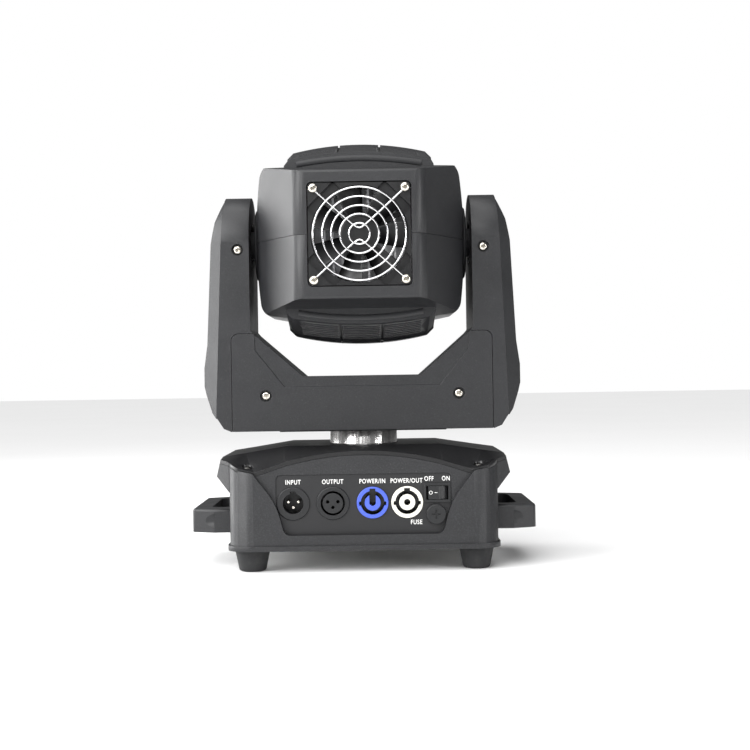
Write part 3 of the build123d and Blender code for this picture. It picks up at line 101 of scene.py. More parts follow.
class Finish:
    """A material being made: a Principled shader, and a way to add whatever feeds it."""

    def __init__(self, name, **fixed):
        self.material = bpy.data.materials.new(name)
        self.material.use_nodes = True
        self.tree = self.material.node_tree
        self.tree.nodes.clear()
        self.shader = self.tree.nodes.new("ShaderNodeBsdfPrincipled")
        output = self.tree.nodes.new("ShaderNodeOutputMaterial")
        self.tree.links.new(self.shader.outputs[0], output.inputs[0])
        self.place = self.node("ShaderNodeTexCoord", output="Object")
        self.feed(**fixed)

    def node(self, kind, settings=None, inputs=None, output=0):
        made = self.tree.nodes.new(kind)
        for name, setting in (settings or {}).items():
            setattr(made, name, setting)
        for name, term in (inputs or {}).items():
            self.plug(made.inputs[name], term)
        return Value(self.tree, made.outputs[output])

    def plug(self, socket, term):
        if isinstance(term, Value):
            self.tree.links.new(term.socket, socket)
        elif hasattr(socket.default_value, "__len__") and len(term) == 3 and len(socket.default_value) == 4:
            socket.default_value = (*term, 1.0)
        else:
            socket.default_value = term

    def feed(self, **terms):
        for name, term in terms.items():
            self.plug(self.shader.inputs[name.replace("_", " ")], term)

    def noise(self, size, detail=3.0, rough=0.55, place=None):
        inputs = {"Vector": place or self.place, "Scale": 1 / size, "Detail": detail, "Roughness": rough}
        return self.node("ShaderNodeTexNoise", {}, inputs, "Fac")

    def blend(self, factor, one, two):
        made = self.tree.nodes.new("ShaderNodeMix")
        made.data_type = "RGBA"
        self.plug(made.inputs["Factor"], factor)
        self.plug(made.inputs[6], one)
        self.plug(made.inputs[7], two)
        return Value(self.tree, made.outputs[2])

    def bump(self, height, distance, strength=1.0):
        inputs = {"Height": height, "Distance": distance, "Strength": strength}
        self.feed(Normal=self.node("ShaderNodeBump", {}, inputs, "Normal"))


def shade(colour, amount):
    return tuple(min(1.0, c * amount) for c in colour)


def moulded(name, colour, roughness, grain=0.55 * MM, depth=0.03 * MM, dust=0.25):
    """Injection moulded plastic: sparked grain, faint flow mottling, handling marks and a little dust."""
    finish = Finish(name, IOR=1.48)
    sparks = finish.noise(grain, 2.0, 0.6)
    cells = {"Vector": finish.place, "Scale": 1 / grain}
    pits = finish.node("ShaderNodeTexVoronoi", {"feature": "F1"}, cells, "Distance")
    mottle = finish.noise(22 * MM, 4.0, 0.6)
    handled = ((finish.noise(55 * MM, 5.0, 0.7) - 0.52) * 6.0).clip()
    specks = ((finish.noise(1.1 * MM, 2.0, 0.5) - 0.66) * 9.0).clip() * dust
    body = finish.blend(mottle, shade(colour, 0.82), shade(colour, 1.2))
    body = finish.blend(((sparks - 0.45) * 4.0).clip() * 0.5, body, shade(colour, 2.6))
    finish.feed(Base_Color=finish.blend(specks * 0.35, body, (0.32, 0.31, 0.29)))
    finish.feed(Roughness=(roughness + mottle * 0.1 + sparks * 0.08 - handled * 0.09 - 0.09).clip())
    finish.bump(sparks * 0.6 + pits * 0.4, depth)
    return finish.material


def plated(name, colour, roughness, wear=0.3, brushed=None):
    """Plated or bare metal: fine polishing marks, slight staining and duller spots."""
    finish = Finish(name, Metallic=1.0)
    place = finish.place
    if brushed:
        place = finish.node("ShaderNodeMapping", {}, {"Vector": place, "Scale": brushed})
    lines = finish.noise(0.35 * MM, 3.0, 0.6, place)
    stain = finish.noise(7 * MM, 5.0, 0.65)
    spots = ((finish.noise(1.3 * MM, 3.0, 0.6) - 0.62) * 8.0).clip() * wear
    metal = finish.blend(stain, shade(colour, 0.86), shade(colour, 1.08))
    finish.feed(Base_Color=finish.blend(spots, metal, shade(colour, 0.55)))
    finish.feed(Roughness=(roughness + stain * 0.1 + spots * 0.3 + lines * 0.06 - 0.06).clip())
    finish.bump(lines, 0.006 * MM, 0.6)
    return finish.material


def rubber(name, colour):
    """Moulded rubber: matt, dusty in patches, fine orange peel."""
    finish = Finish(name, IOR=1.5)
    peel = finish.noise(0.8 * MM, 3.0, 0.6)
    dusty = ((finish.noise(9 * MM, 5.0, 0.7) - 0.45) * 3.0).clip()
    finish.feed(Base_Color=finish.blend(dusty * 0.3, shade(colour, 0.9), (0.10, 0.098, 0.094)))
    finish.feed(Roughness=(0.68 + dusty * 0.2 + peel * 0.06).clip())
    finish.bump(peel, 0.05 * MM)
    return finish.material


def painted(name, colour, roughness):
    """Powder coated sheet: fine pebbled paint with a faint cloudiness."""
    finish = Finish(name, IOR=1.5)
    pebble = finish.noise(0.3 * MM, 2.0, 0.5)
    cloud = finish.noise(14 * MM, 4.0, 0.6)
    body = finish.blend(cloud, shade(colour, 0.8), shade(colour, 1.25))
    finish.feed(Base_Color=finish.blend(pebble * 0.25, body, shade(colour, 2.2)))
    finish.feed(Roughness=(roughness + cloud * 0.1 + pebble * 0.05 - 0.07).clip())
    finish.bump(pebble, 0.012 * MM)
    return finish.material


def glossy(name, colour, roughness, coat=0.25, painted_shade_behind=None):
    """Smooth coloured thermoplastic with light scuffs; painted shade, near-black, on surfaces deeper than a given
    depth.
    """
    finish = Finish(name, IOR=1.49, Coat_Weight=coat, Coat_Roughness=0.15)
    scuffs = ((finish.noise(2.2 * MM, 4.0, 0.7) - 0.55) * 5.0).clip()
    cloud = finish.noise(8 * MM, 3.0, 0.5)
    body = finish.blend(cloud, shade(colour, 0.88), shade(colour, 1.08))
    body = finish.blend(scuffs * 0.14, body, shade(colour, 0.6))
    if painted_shade_behind is not None:
        # Painted shade: surfaces deeper than the given depth, in the sockets' deep gaps, are painted near-black to
        # stand in for the shade there.
        depth = finish.node("ShaderNodeSeparateXYZ", {}, {"Vector": finish.place}, "Y")
        body = finish.blend(((depth - painted_shade_behind) * 5000.0).clip(), body, (0.008, 0.008, 0.009))
    finish.feed(Base_Color=body)
    finish.feed(Roughness=(roughness + scuffs * 0.15 + cloud * 0.06).clip())
    finish.bump(finish.noise(0.5 * MM, 2.0), 0.008 * MM)
    return finish.material


def board(name, colour):
    """Circuit board lacquer over copper tracks."""
    finish = Finish(name, IOR=1.5)
    black, white = (0, 0, 0, 1), (1, 1, 1, 1)
    pattern = {"Vector": finish.place, "Scale": 120.0, "Mortar Size": 0.12}
    pattern.update({"Color1": black, "Color2": black, "Mortar": white})
    tracks = finish.node("ShaderNodeTexBrick", {"offset": 0.5}, pattern, "Fac")
    cloud = finish.noise(6 * MM, 3.0)
    green = finish.blend(cloud, shade(colour, 0.8), shade(colour, 1.2))
    finish.feed(Base_Color=finish.blend(tracks * 0.5, green, shade(colour, 2.1)))
    finish.feed(Roughness=(0.32 + cloud * 0.15).clip())
    finish.bump(tracks, 0.03 * MM)
    return finish.material


def glass(name, tint):
    """Coated optical glass: clear, with faint dust."""
    finish = Finish(name, IOR=1.52, Transmission_Weight=0.92, Base_Color=tint)
    dust = ((finish.noise(1.5 * MM, 3.0, 0.6) - 0.6) * 6.0).clip()
    finish.feed(Roughness=(0.01 + dust * 0.03).clip())
    return finish.material


def window(name, colour):
    """Dark display window with the faint grid of its picture elements."""
    finish = Finish(name, IOR=1.5, Coat_Weight=0.6, Coat_Roughness=0.06)
    grid = finish.node("ShaderNodeTexChecker", {}, {"Vector": finish.place, "Scale": 2000.0}, "Fac")
    cloud = finish.noise(18 * MM, 2.0)
    finish.feed(Base_Color=finish.blend(grid * 0.5, shade(colour, 0.7), shade(colour, 2.0)))
    finish.feed(Roughness=(0.12 + cloud * 0.1).clip())
    return finish.material


# ---------------------------------------------------------------- mesh helpers
def corners_of(node, first, second):
    """The boxes of a node's four separate solids, told apart by the quarter of the node's box they lie in."""
    low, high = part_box(node)
    middle = (low + high) / 2
    quarters = {}
    for vertex in NODES[node].data.vertices:
        key = (vertex.co[first] > middle[first], vertex.co[second] > middle[second])
        found = quarters.setdefault(key, (vertex.co.copy(), vertex.co.copy()))
        for i in range(3):
            found[0][i] = min(found[0][i], vertex.co[i])
            found[1][i] = max(found[1][i], vertex.co[i])
    return [quarters[key] for key in sorted(quarters)]


def tube(mesh, path, radius, closed=False, sides=12):
    """Adds a round bar along a path of points to a bmesh."""
    count = len(path)
    rings = []
    side = None
    for i, point in enumerate(path):
        ahead = path[(i + 1) % count] if closed or i < count - 1 else point
        behind = path[i - 1] if closed or i else point
        along = (ahead - behind).normalized()
        if side is None:
            side = along.orthogonal().normalized()
        side = (side - along * side.dot(along)).normalized()
        across = along.cross(side)
        ring = []
        for k in range(sides):
            turn = 2 * math.pi * k / sides
            ring.append(mesh.verts.new(point + radius * (math.cos(turn) * side + math.sin(turn) * across)))
        rings.append(ring)
    for i in range(count if closed else count - 1):
        one, two = rings[i], rings[(i + 1) % count]
        for k in range(sides):
            mesh.faces.new((one[k], one[(k + 1) % sides], two[(k + 1) % sides], two[k]))
    if not closed:
        mesh.faces.new(rings[0][::-1])
        mesh.faces.new(rings[-1])


def circle(centre, radius, steps):
    """Points round a circle that faces the back of the head."""
    points = []
    for i in range(steps):
        turn = 2 * math.pi * i / steps
        points.append(centre + radius * Vector((math.cos(turn), 0, math.sin(turn))))
    return points


def lathe(mesh, profile, sides=40):
    """Adds a solid of revolution about Z; the profile runs from the axis to the axis."""
    rings = []
    for radius, height in profile:
        if radius < 1e-7:
            rings.append([mesh.verts.new((0, 0, height))])
            continue
        ring = []
        for k in range(sides):
            turn = 2 * math.pi * k / sides
            ring.append(mesh.verts.new((radius * math.cos(turn), radius * math.sin(turn), height)))
        rings.append(ring)
    for one, two in zip(rings, rings[1:]):
        for k in range(sides):
            face = {one[k % len(one)]: 0, one[(k + 1) % len(one)]: 0, two[(k + 1) % len(two)]: 0, two[k % len(two)]: 0}
            mesh.faces.new(list(face))


def mesh_of(fill):
    """A mesh filled by a function that is given an empty bmesh."""
    made = bmesh.new()
    fill(made)
    bmesh.ops.recalc_face_normals(made, faces=made.faces)
    mesh = bpy.data.meshes.new("shape")
    made.to_mesh(mesh)
    made.free()
    return mesh


def piece(name, mesh, body, material, sharp=35.0):
    """Puts a finished mesh in the scene as a piece of the object."""
    mesh.name = name
    mesh.materials.clear()
    mesh.materials.append(material)
    mesh.shade_smooth()
    mesh.set_sharp_from_angle(angle=math.radians(sharp))
    made = bpy.data.objects.new(name, mesh)
    bpy.context.scene.collection.objects.link(made)
    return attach(made, body)


def joined(meshes):
    """One mesh out of (mesh, placement) pairs."""
    made = bmesh.new()
    for mesh, placement in meshes:
        copy = mesh.copy()
        copy.transform(placement)
        made.from_mesh(copy)
        bpy.data.meshes.remove(copy)
    mesh = bpy.data.meshes.new("joined")
    made.to_mesh(mesh)
    made.free()
    return mesh


def cross_screw(radius, rise, shank):
    """A pan head screw along Z with a tapered cross recess; the head stands on z = 0."""
    flat = 0.34 * radius

    def body(mesh):
        dome = [(0, rise), (0.35 * radius, rise * 0.985), (0.62 * radius, rise * 0.93), (0.82 * radius, rise * 0.76)]
        dome += [(0.94 * radius, rise * 0.5), (radius, rise * 0.2), (0.985 * radius, 0)]
        lathe(mesh, dome + [(0.5 * radius, 0), (0.5 * radius, -shank), (0, -shank)])

    def recess(mesh):
        outline = []
        for quarter in range(4):
            turn = Matrix.Rotation(quarter * math.pi / 2, 3, "Z")
            arm = [(flat * 0.42, flat * 0.42), (flat * 0.36, 0.66 * radius), (-flat * 0.36, 0.66 * radius)]
            outline += [turn @ Vector((x, y, 0)) for x, y in arm]
        top = [mesh.verts.new(p + Vector((0, 0, rise * 1.3))) for p in outline]
        bottom = [mesh.verts.new(p * 0.45 + Vector((0, 0, rise * 0.1))) for p in outline]
        mesh.faces.new(top)
        mesh.faces.new(bottom[::-1])
        for k in range(len(top)):
            mesh.faces.new((top[k - 1], bottom[k - 1], bottom[k], top[k]))

    solid = bpy.data.objects.new("blank", mesh_of(body))
    cutter = bpy.data.objects.new("punch", mesh_of(recess))
    for made in (solid, cutter):
        bpy.context.scene.collection.objects.link(made)
    punched = solid.modifiers.new("recess", "BOOLEAN")
    punched.operation = "DIFFERENCE"
    punched.object = cutter
    punched.solver = "EXACT"
    bpy.context.view_layer.update()
    mesh = bpy.data.meshes.new_from_object(solid.evaluated_get(bpy.context.evaluated_depsgraph_get()))
    for made in (solid, cutter):
        bpy.data.objects.remove(made)
    return mesh


def lettering(words, size, thickness):
    """Printed words as a thin mesh in the plane that faces the back, centred on the origin."""
    curve = bpy.data.curves.new("print", "FONT")
    curve.body = words
    curve.size = size
    curve.extrude = thickness
    curve.offset = size * 0.012
    curve.space_character = 1.14
    curve.align_x = "CENTER"
    curve.align_y = "CENTER"
    curve.resolution_u = 4
    made = bpy.data.objects.new("print", curve)
    bpy.context.scene.collection.objects.link(made)
    bpy.context.view_layer.update()
    mesh = bpy.data.meshes.new_from_object(made.evaluated_get(bpy.context.evaluated_depsgraph_get()))
    bpy.data.objects.remove(made)
    mesh.transform(Matrix.Rotation(math.pi / 2, 4, "X"))
    return mesh


def soften(node, width):
    """Rounds a CAD node's sharp edges slightly, as the mould or the press leaves them."""
    thing = NODES[node]
    weld = thing.modifiers.new("joined edges", "WELD")
    weld.merge_threshold = 0.004 * MM
    flat = thing.modifiers.new("flat faces", "DECIMATE")
    flat.decimate_type = "DISSOLVE"
    flat.angle_limit = math.radians(0.4)
    edge = thing.modifiers.new("edge radius", "BEVEL")
    edge.width = width
    edge.segments = 2
    edge.limit_method = "ANGLE"
    edge.angle_limit = math.radians(38)
    edge.harden_normals = True
    edge.miter_outer = "MITER_ARC"


def paint(slot, material):
    """Gives every CAD node of one slot its finish."""
    for node in IN_SLOT.get(slot, ()):
        mesh = NODES[node].data
        mesh.materials.clear()
        mesh.materials.append(material)


# ---------------------------------------------------------------- what a user may change
def tone(name, description, default):
    return bpy.props.FloatVectorProperty(
        name=name, description=description, subtype="COLOR", size=3, min=0.0, max=1.0, default=default)


def length(name, description, default):
    return bpy.props.FloatProperty(
        name=name, description=description, unit="LENGTH", min=0.0, precision=5, default=default)


class MovingHeadColours(bpy.types.PropertyGroup):
    housing: tone("Housing", "Grained dark grey mouldings of base, yoke and head", (0.013, 0.0133, 0.0147))
    cover: tone("Top cover", "Smooth black moulding on the base and the fan", (0.006, 0.006, 0.0066))
    panel: tone("Socket panel", "Coated plate behind the sockets", (0.008, 0.008, 0.009))
    socket: tone("Sockets", "Data sockets, switch, fuse cap and keys", (0.008, 0.0083, 0.0092))
    power_in: tone("Power inlet", "Locking mains inlet", (0.055, 0.105, 0.56))
    power_out: tone("Power outlet", "Locking mains outlet", (0.78, 0.76, 0.68))
    foot: tone("Feet", "Rubber feet", (0.012, 0.0123, 0.0135))
    nickel: tone("Screws", "Nickel plating", (0.74, 0.70, 0.63))
    chrome: tone("Wire guard", "Bright chromed wire", (0.80, 0.80, 0.81))
    steel: tone("Pan tube", "Turned and polished steel", (0.66, 0.65, 0.64))
    print: tone("Markings", "Screen printed ink", (0.82, 0.82, 0.80))


class MovingHeadSizes(bpy.types.PropertyGroup):
    edge: length("Edge radius", "Radius on the edges of the mouldings", 0.6 * MM)
    grip_edge: length("Handle edge radius", "Radius on the edges of the carrying handles", 2.2 * MM)
    fine_edge: length("Fine edge radius", "Radius on the edges of sockets and small parts", 0.18 * MM)
    grain: length("Grain", "Size of the sparked grain on the housings", 0.6 * MM)
    wire: length("Guard wire", "Diameter of the guard's wires", 1.5 * MM)
    letters: length("Lettering", "Size of the printed words", 5.0 * MM)
    ink: length("Ink", "Thickness of the printed words", 0.03 * MM)


def colours():
    return bpy.context.scene.moving_head_colours


def sizes():
    return bpy.context.scene.moving_head_sizes


# ---------------------------------------------------------------- one operator for each group of pieces
class MOVINGHEAD_OT_mouldings(bpy.types.Operator):
    """Grained finish and softened edges on the base, the yoke and the head"""

    bl_idname = "movinghead.mouldings"
    bl_label = "Mouldings"

    def execute(self, context):
        paint("housing_plastic", moulded("grained housing plastic", colours().housing, 0.46, sizes().grain))
        coarse = moulded("coarse housing texture", colours().housing, 0.5, 2 * sizes().grain, 0.11 * MM, 0.3)
        NODES["base_housing"].data.materials.clear()
        NODES["base_housing"].data.materials.append(coarse)
        paint("cover_plastic", moulded("smooth black plastic", colours().cover, 0.36, 0.4 * MM, 0.008 * MM, 0.15))
        # A bevel tears the ribbed faces of the arm side covers, so their edges stay sharp.
        ribbed = {"arm_side_cover_left", "arm_side_cover_right"}
        for node in IN_SLOT["housing_plastic"] + ["base_top_cover", "fan_frame"]:
            if node not in ribbed:
                soften(node, sizes().grip_edge if node.startswith("side_handle") else sizes().edge)
        soften("fan_impeller", sizes().fine_edge)
        return {"FINISHED"}


class MOVINGHEAD_OT_rubber(bpy.types.Operator):
    """Rubber finish on the feet and the drive belts"""

    bl_idname = "movinghead.rubber"
    bl_label = "Feet and belts"

    def execute(self, context):
        paint("foot_rubber", rubber("foot rubber", colours().foot))
        paint("belt_rubber", rubber("belt rubber", shade(colours().foot, 0.8)))
        soften("base_feet", sizes().edge)
        return {"FINISHED"}


class MOVINGHEAD_OT_sockets(bpy.types.Operator):
    """Coated panel, black data sockets, switch, fuse cap, keys, and the two coloured mains sockets"""

    bl_idname = "movinghead.sockets"
    bl_label = "Panel and sockets"

    def execute(self, context):
        paint("panel_black", painted("coated panel", colours().panel, 0.5))
        paint("socket_black", moulded("black socket plastic", colours().socket, 0.4, 0.25 * MM, 0.008 * MM, 0.1))
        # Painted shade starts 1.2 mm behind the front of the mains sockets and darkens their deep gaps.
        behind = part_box("power_in_socket")[0].y + 1.2 * MM
        paint("power_blue", glossy("blue socket plastic", colours().power_in, 0.34, 0.25, behind))
        paint("power_white", glossy("white socket plastic", colours().power_out, 0.36, 0.25, behind))
        paint("screen_glass", window("display window", (0.012, 0.014, 0.02)))
        for slot in ("socket_black", "power_blue", "power_white"):
            for node in IN_SLOT[slot]:
                soften(node, sizes().fine_edge)
        for node in IN_SLOT["panel_black"]:
            soften(node, sizes().edge)
        return {"FINISHED"}


class MOVINGHEAD_OT_metalwork(bpy.types.Operator):
    """Bare, plated and painted metal, the circuit boards and the lens"""

    bl_idname = "movinghead.metalwork"
    bl_label = "Metalwork and lens"

    def execute(self, context):
        paint("tube_steel", plated("polished tube steel", colours().steel, 0.2, 0.3, (1.0, 1.0, 14.0)))
        paint("sheet_steel", plated("zinc plated sheet", (0.5, 0.5, 0.49), 0.38, 0.5))
        paint("pulley_aluminium", plated("machined aluminium", (0.68, 0.68, 0.7), 0.34, 0.2))
        paint("screw_nickel", plated("nickel plating", colours().nickel, 0.2, 0.35))
        # Painted shade: the top cover's screws sit deep in dark wells, so their finish is near-black to stand in for
        # the shade of the wells.
        plated("screw painted with well shade", (0.07, 0.068, 0.065), 0.3, 0.4)
        paint("guard_chrome", plated("bright chrome", colours().chrome, 0.1, 0.2))
        paint("motor_black", painted("motor lacquer", (0.02, 0.02, 0.021), 0.4))
        paint("board_green", board("circuit board", (0.012, 0.09, 0.03)))
        paint("lens_glass", glass("coated lens", (0.93, 0.95, 0.97)))
        for node in ("pan_tube", "base_bottom_plate"):
            soften(node, sizes().fine_edge)
        return {"FINISHED"}


class MOVINGHEAD_OT_rims(bpy.types.Operator):
    """Raised rounded bar along the back edge of each vent hood"""

    bl_idname = "movinghead.rims"
    bl_label = "Hood rims"
    # In mm; the crest and the ends are distances from the tilt axis.
    half_span = 50.0
    crest = 63.9
    ends = 59.4
    bar_radius = 2.5
    flattening = 0.42

    def execute(self, context):
        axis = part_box("tilt_pulley")
        height = (axis[0].z + axis[1].z) / 2
        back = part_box("upper_vent_hood")[0].y

        def bar(mesh):
            path = []
            for i in range(49):
                across = self.half_span * (i / 24 - 1)
                rise = self.ends + (self.crest - self.ends) * (1 - (across / self.half_span) ** 2)
                path.append(Vector((across * MM, 0, rise * MM)))
            tube(mesh, path, self.bar_radius * MM, sides=24)
            for vertex in mesh.verts:
                vertex.co.y *= self.flattening

        shape = mesh_of(bar)
        places = [(shape, Matrix.Translation((0, back, height)))]
        places.append((shape, Matrix.Translation((0, back, height)) @ Matrix.Rotation(math.pi, 4, "Y")))
        finish = NODES["upper_vent_hood"].data.materials[0]
        piece("hood_rims", joined(places), "head", finish, 50.0)
        return {"FINISHED"}


class MOVINGHEAD_OT_guard(bpy.types.Operator):
    """Wire guard over the fan: five rings on two bent cross wires with an eyelet at every screw"""

    bl_idname = "movinghead.guard"
    bl_label = "Wire guard"
    # In mm: the rings' radii, the cross wires' distance from the middle, their bend, and the eyelets' radius.
    rings = (8.2, 15.3, 22.0, 29.0, 36.3)
    apex = 3.0
    bend_radius = 2.4
    bend_tuck = 0.6
    eyelet_radius = 2.7

    def execute(self, context):
        low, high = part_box("fan_guard")
        radius = sizes().wire / 2
        middle = (low + high) / 2
        outer = Vector((middle.x, low.y + radius, middle.z))
        inner = Vector((middle.x, high.y - radius, middle.z))
        eyelet = self.eyelet_radius * MM
        hole = (high.x - low.x) / 2 - eyelet - radius

        def wires(mesh):
            for ring in self.rings:
                tube(mesh, circle(outer, ring * MM, 96), radius, closed=True)
            start = hole - 0.7 * eyelet
            for turn in (1, -1):
                tip = self.apex * MM
                slope = (start - tip) / start
                path = []
                for i in range(41):
                    across = start * (i / 20 - 1)
                    bend = math.sqrt(across * across + (self.bend_radius * MM) ** 2) - self.bend_tuck * MM
                    path.append(inner + Vector((across, 0, turn * (tip + slope * min(bend, start)))))
                tube(mesh, path, radius)
                for side in (1, -1):
                    centre = inner + Vector((side * hole, 0, turn * hole))
                    tube(mesh, circle(centre, eyelet, 32), radius, closed=True)
                    for ring in self.rings:
                        spot = inner.lerp(outer, 0.5) + self.crossing(ring * MM, start, tip, side, turn)
                        weld = Matrix.Translation(spot)
                        bmesh.ops.create_icosphere(mesh, subdivisions=2, radius=radius * 0.92, matrix=weld)

        chrome = bpy.data.materials["bright chrome"]
        guard = piece("wire_guard", mesh_of(wires), BODY_OF["fan_guard"], chrome)
        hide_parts("fan_guard")
        return {"FINISHED"}

    @staticmethod
    def crossing(ring, start, tip, side, turn):
        """Where a ring is welded to a straight run of a cross wire."""
        slope = (start - tip) / start
        a = 1 + slope * slope
        b = slope * tip
        across = (-b + math.sqrt(b * b - a * (tip * tip - ring * ring))) / a
        return Vector((side * across, 0, turn * (tip + slope * across)))


class MOVINGHEAD_OT_screws(bpy.types.Operator):
    """Pan head cross screws of the fan, the yoke and the top cover"""

    bl_idname = "movinghead.screws"
    bl_label = "Screws"
    turns = (0.3, 1.1, 0.55, 0.05)

    def execute(self, context):
        # Node, the two axes that its four screws are spread along, and the height of their heads.
        rows = (("fan_screws", 0, 2, 2.3 * MM), ("yoke_screws", 0, 2, 1.8 * MM), ("base_cover_screws", 0, 1, 1.8 * MM))
        for node, first, second, rise in rows:
            backwards = second == 2
            placed = []
            for (low, high), turn in zip(corners_of(node, first, second), self.turns):
                middle = (low + high) / 2
                radius = (high.x - low.x) / 2
                depth = (high.y - low.y if backwards else high.z - low.z) - rise
                screw = cross_screw(radius, rise, min(depth, 6 * MM))
                spin = Matrix.Rotation(turn, 4, "Z")
                if backwards:
                    tilt = Matrix.Rotation(math.pi / 2, 4, "X")
                    seat = Matrix.Translation((middle.x, low.y + rise, middle.z))
                else:
                    tilt = Matrix.Identity(4)
                    seat = Matrix.Translation((middle.x, middle.y, high.z - rise))
                placed.append((screw, seat @ tilt @ spin))
            # The top cover's screws take the near-black finish that stands in for the shade of their wells.
            metal = bpy.data.materials["screw painted with well shade" if node == "base_cover_screws" else "nickel plating"]
            made = piece("cross_" + node, joined(placed), BODY_OF[node], metal, 30.0)
            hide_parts(node)
        return {"FINISHED"}


class MOVINGHEAD_OT_markings(bpy.types.Operator):
    """Printed words over the sockets and the two signs on the rocker"""

    bl_idname = "movinghead.markings"
    bl_label = "Markings"

    def execute(self, context):
        ink = glossy("white print", colours().print, 0.5, 0.0)
        narrow = Matrix.Diagonal((0.78, 1.0, 1.0, 1.0))
        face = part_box("connector_panel")[0].y
        size = sizes().letters
        centre = {}
        for node in ("xlr_in_socket", "xlr_out_socket", "power_in_socket", "power_out_socket", "fuse_cap"):
            low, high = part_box(node)
            centre[node] = (low + high) / 2
        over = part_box("power_in_socket")[1].z + 4.2 * MM
        switch_low, switch_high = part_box("switch_frame")
        over_switch = switch_high.z + 3.3 * MM
        words = [
            ("INPUT", centre["xlr_in_socket"].x, over),
            ("OUTPUT", centre["xlr_out_socket"].x, over),
            ("POWER/IN", centre["power_in_socket"].x, over),
            ("POWER/OUT", centre["power_out_socket"].x - 0.4 * MM, over),
            ("OFF", switch_low.x + 4.2 * MM, over_switch),
            ("ON", switch_high.x - 3.6 * MM, over_switch),
            ("FUSE", centre["fuse_cap"].x - 15.5 * MM, centre["fuse_cap"].z - 6.2 * MM),
        ]
        placed = []
        for text, x, z in words:
            placed.append((lettering(text, size, sizes().ink), Matrix.Translation((x, face, z)) @ narrow))
        piece("socket_print", joined(placed), "base", ink)

        low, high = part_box("switch_rocker")
        level = low.y
        middle = (low + high) / 2
        stroke = 0.22 * MM

        def signs(mesh):
            ring = circle(Vector((middle.x - 5.0 * MM, level, middle.z)), 1.25 * MM, 28)
            tube(mesh, ring, stroke, closed=True, sides=8)
            bar = Vector((middle.x - 1.0 * MM, level, middle.z))
            reach = Vector((1.1 * MM, 0, 0))
            tube(mesh, [bar - reach, bar + reach], stroke, sides=8)

        piece("rocker_print", mesh_of(signs), BODY_OF["switch_rocker"], ink)
        return {"FINISHED"}


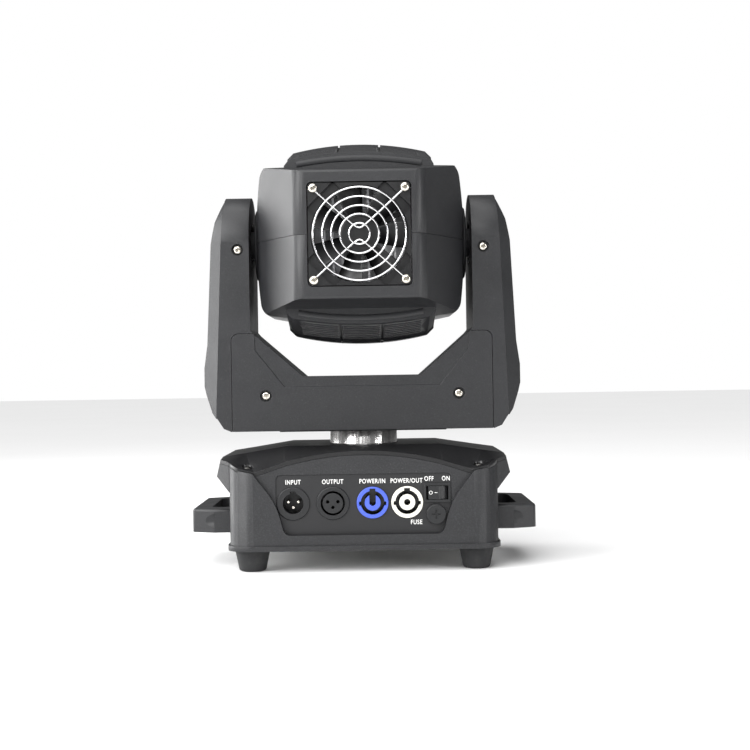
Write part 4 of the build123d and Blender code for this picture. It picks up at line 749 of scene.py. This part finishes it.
class MOVINGHEAD_OT_studio(bpy.types.Operator):
    """Pale floor, soft lights and the camera behind the light"""

    bl_idname = "movinghead.studio"
    bl_label = "Studio"

    def lamp(self, name, spot, aim, width, height, power):
        light = bpy.data.lights.new(name, "AREA")
        light.shape = "RECTANGLE"
        light.size = width
        light.size_y = height
        light.energy = power
        made = bpy.data.objects.new(name, light)
        bpy.context.scene.collection.objects.link(made)
        made.location = spot
        made.rotation_euler = (Vector(aim) - Vector(spot)).to_track_quat("-Z", "Y").to_euler()

    def execute(self, context):
        floor = Finish("pale studio floor", Roughness=0.9)
        floor.feed(Base_Color=floor.blend(floor.noise(0.5), (0.86, 0.86, 0.86), (0.9, 0.9, 0.9)))

        def sweep(mesh):
            bmesh.ops.create_grid(mesh, x_segments=2, y_segments=2, size=9.0)

        ground = bpy.data.objects.new("studio_floor", mesh_of(sweep))
        ground.data.materials.append(floor.material)
        ground.location.z = -0.2 * MM
        context.scene.collection.objects.link(ground)

        world = bpy.data.worlds.new("studio")
        world.use_nodes = True
        nodes = world.node_tree.nodes
        white = (1.0, 1.0, 1.0, 1.0)
        nodes["Background"].inputs["Color"].default_value = white
        nodes["Background"].inputs["Strength"].default_value = 0.2
        bright = nodes.new("ShaderNodeBackground")
        bright.inputs["Color"].default_value = white
        seen = nodes.new("ShaderNodeLightPath")
        mix = nodes.new("ShaderNodeMixShader")
        links = world.node_tree.links
        links.new(seen.outputs["Is Camera Ray"], mix.inputs[0])
        links.new(nodes["Background"].outputs[0], mix.inputs[1])
        links.new(bright.outputs[0], mix.inputs[2])
        links.new(mix.outputs[0], nodes["World Output"].inputs["Surface"])
        context.scene.world = world
        context.scene.view_settings.view_transform = "Standard"
        self.lamp("key", (-1.25, -0.95, 0.8), (0, 0, 0.2), 0.8, 1.0, 27.0)
        self.lamp("left_rear", (-1.2, 0.45, 0.4), (0, 0, 0.25), 0.8, 0.9, 16.0)
        self.lamp("front", (-0.3, -1.6, 1.2), (0, 0, 0.2), 1.2, 0.7, 14.0)
        self.lamp("right_strip", (0.95, -0.85, 0.35), (0, -0.05, 0.2), 0.08, 0.9, 5.0)
        sky = bpy.data.lights.new("overhead", "SUN")
        sky.energy = 2.5
        sky.angle = math.radians(70)
        above = bpy.data.objects.new("overhead", sky)
        above.rotation_euler = (math.radians(12), math.radians(-10), 0)
        context.scene.collection.objects.link(above)

        camera = bpy.data.cameras.new("camera")
        camera.lens = 64.7
        camera.sensor_width = 36.0
        camera.clip_start = 0.05
        made = bpy.data.objects.new("camera", camera)
        context.scene.collection.objects.link(made)
        made.location = (0.0104, -1.135, 0.153)
        level = Matrix.Rotation(math.pi / 2, 4, "X")
        made.rotation_euler = (level @ Matrix.Rotation(math.radians(-0.9), 4, "Z")).to_euler()
        context.scene.camera = made
        return {"FINISHED"}


class MOVINGHEAD_PT_pieces(bpy.types.Panel):
    """Shows the colour and size settings and a button for each group of pieces of the moving head light"""

    bl_idname = "MOVINGHEAD_PT_pieces"
    bl_label = "Moving head"
    bl_space_type = "VIEW_3D"
    bl_region_type = "UI"
    bl_category = "Moving head"

    def draw(self, context):
        for settings in (context.scene.moving_head_colours, context.scene.moving_head_sizes):
            box = self.layout.box()
            for name in settings.__annotations__:
                box.prop(settings, name)
        for operator in OPERATORS:
            self.layout.operator(operator.bl_idname)


GROUPS = (MovingHeadColours, MovingHeadSizes)
OPERATORS = (
    MOVINGHEAD_OT_mouldings,
    MOVINGHEAD_OT_rubber,
    MOVINGHEAD_OT_sockets,
    MOVINGHEAD_OT_metalwork,
    MOVINGHEAD_OT_rims,
    MOVINGHEAD_OT_guard,
    MOVINGHEAD_OT_screws,
    MOVINGHEAD_OT_markings,
    MOVINGHEAD_OT_studio,
)


def register():
    for made in GROUPS + OPERATORS + (MOVINGHEAD_PT_pieces,):
        bpy.utils.register_class(made)
    bpy.types.Scene.moving_head_colours = bpy.props.PointerProperty(type=MovingHeadColours)
    bpy.types.Scene.moving_head_sizes = bpy.props.PointerProperty(type=MovingHeadSizes)


def unregister():
    del bpy.types.Scene.moving_head_sizes
    del bpy.types.Scene.moving_head_colours
    for made in reversed(GROUPS + OPERATORS + (MOVINGHEAD_PT_pieces,)):
        bpy.utils.unregister_class(made)


def main():
    register()
    movinghead = bpy.ops.movinghead
    movinghead.mouldings()
    movinghead.rubber()
    movinghead.sockets()
    movinghead.metalwork()
    movinghead.rims()
    movinghead.guard()
    movinghead.screws()
    movinghead.markings()
    movinghead.studio()


if __name__ == "__main__":
    main()
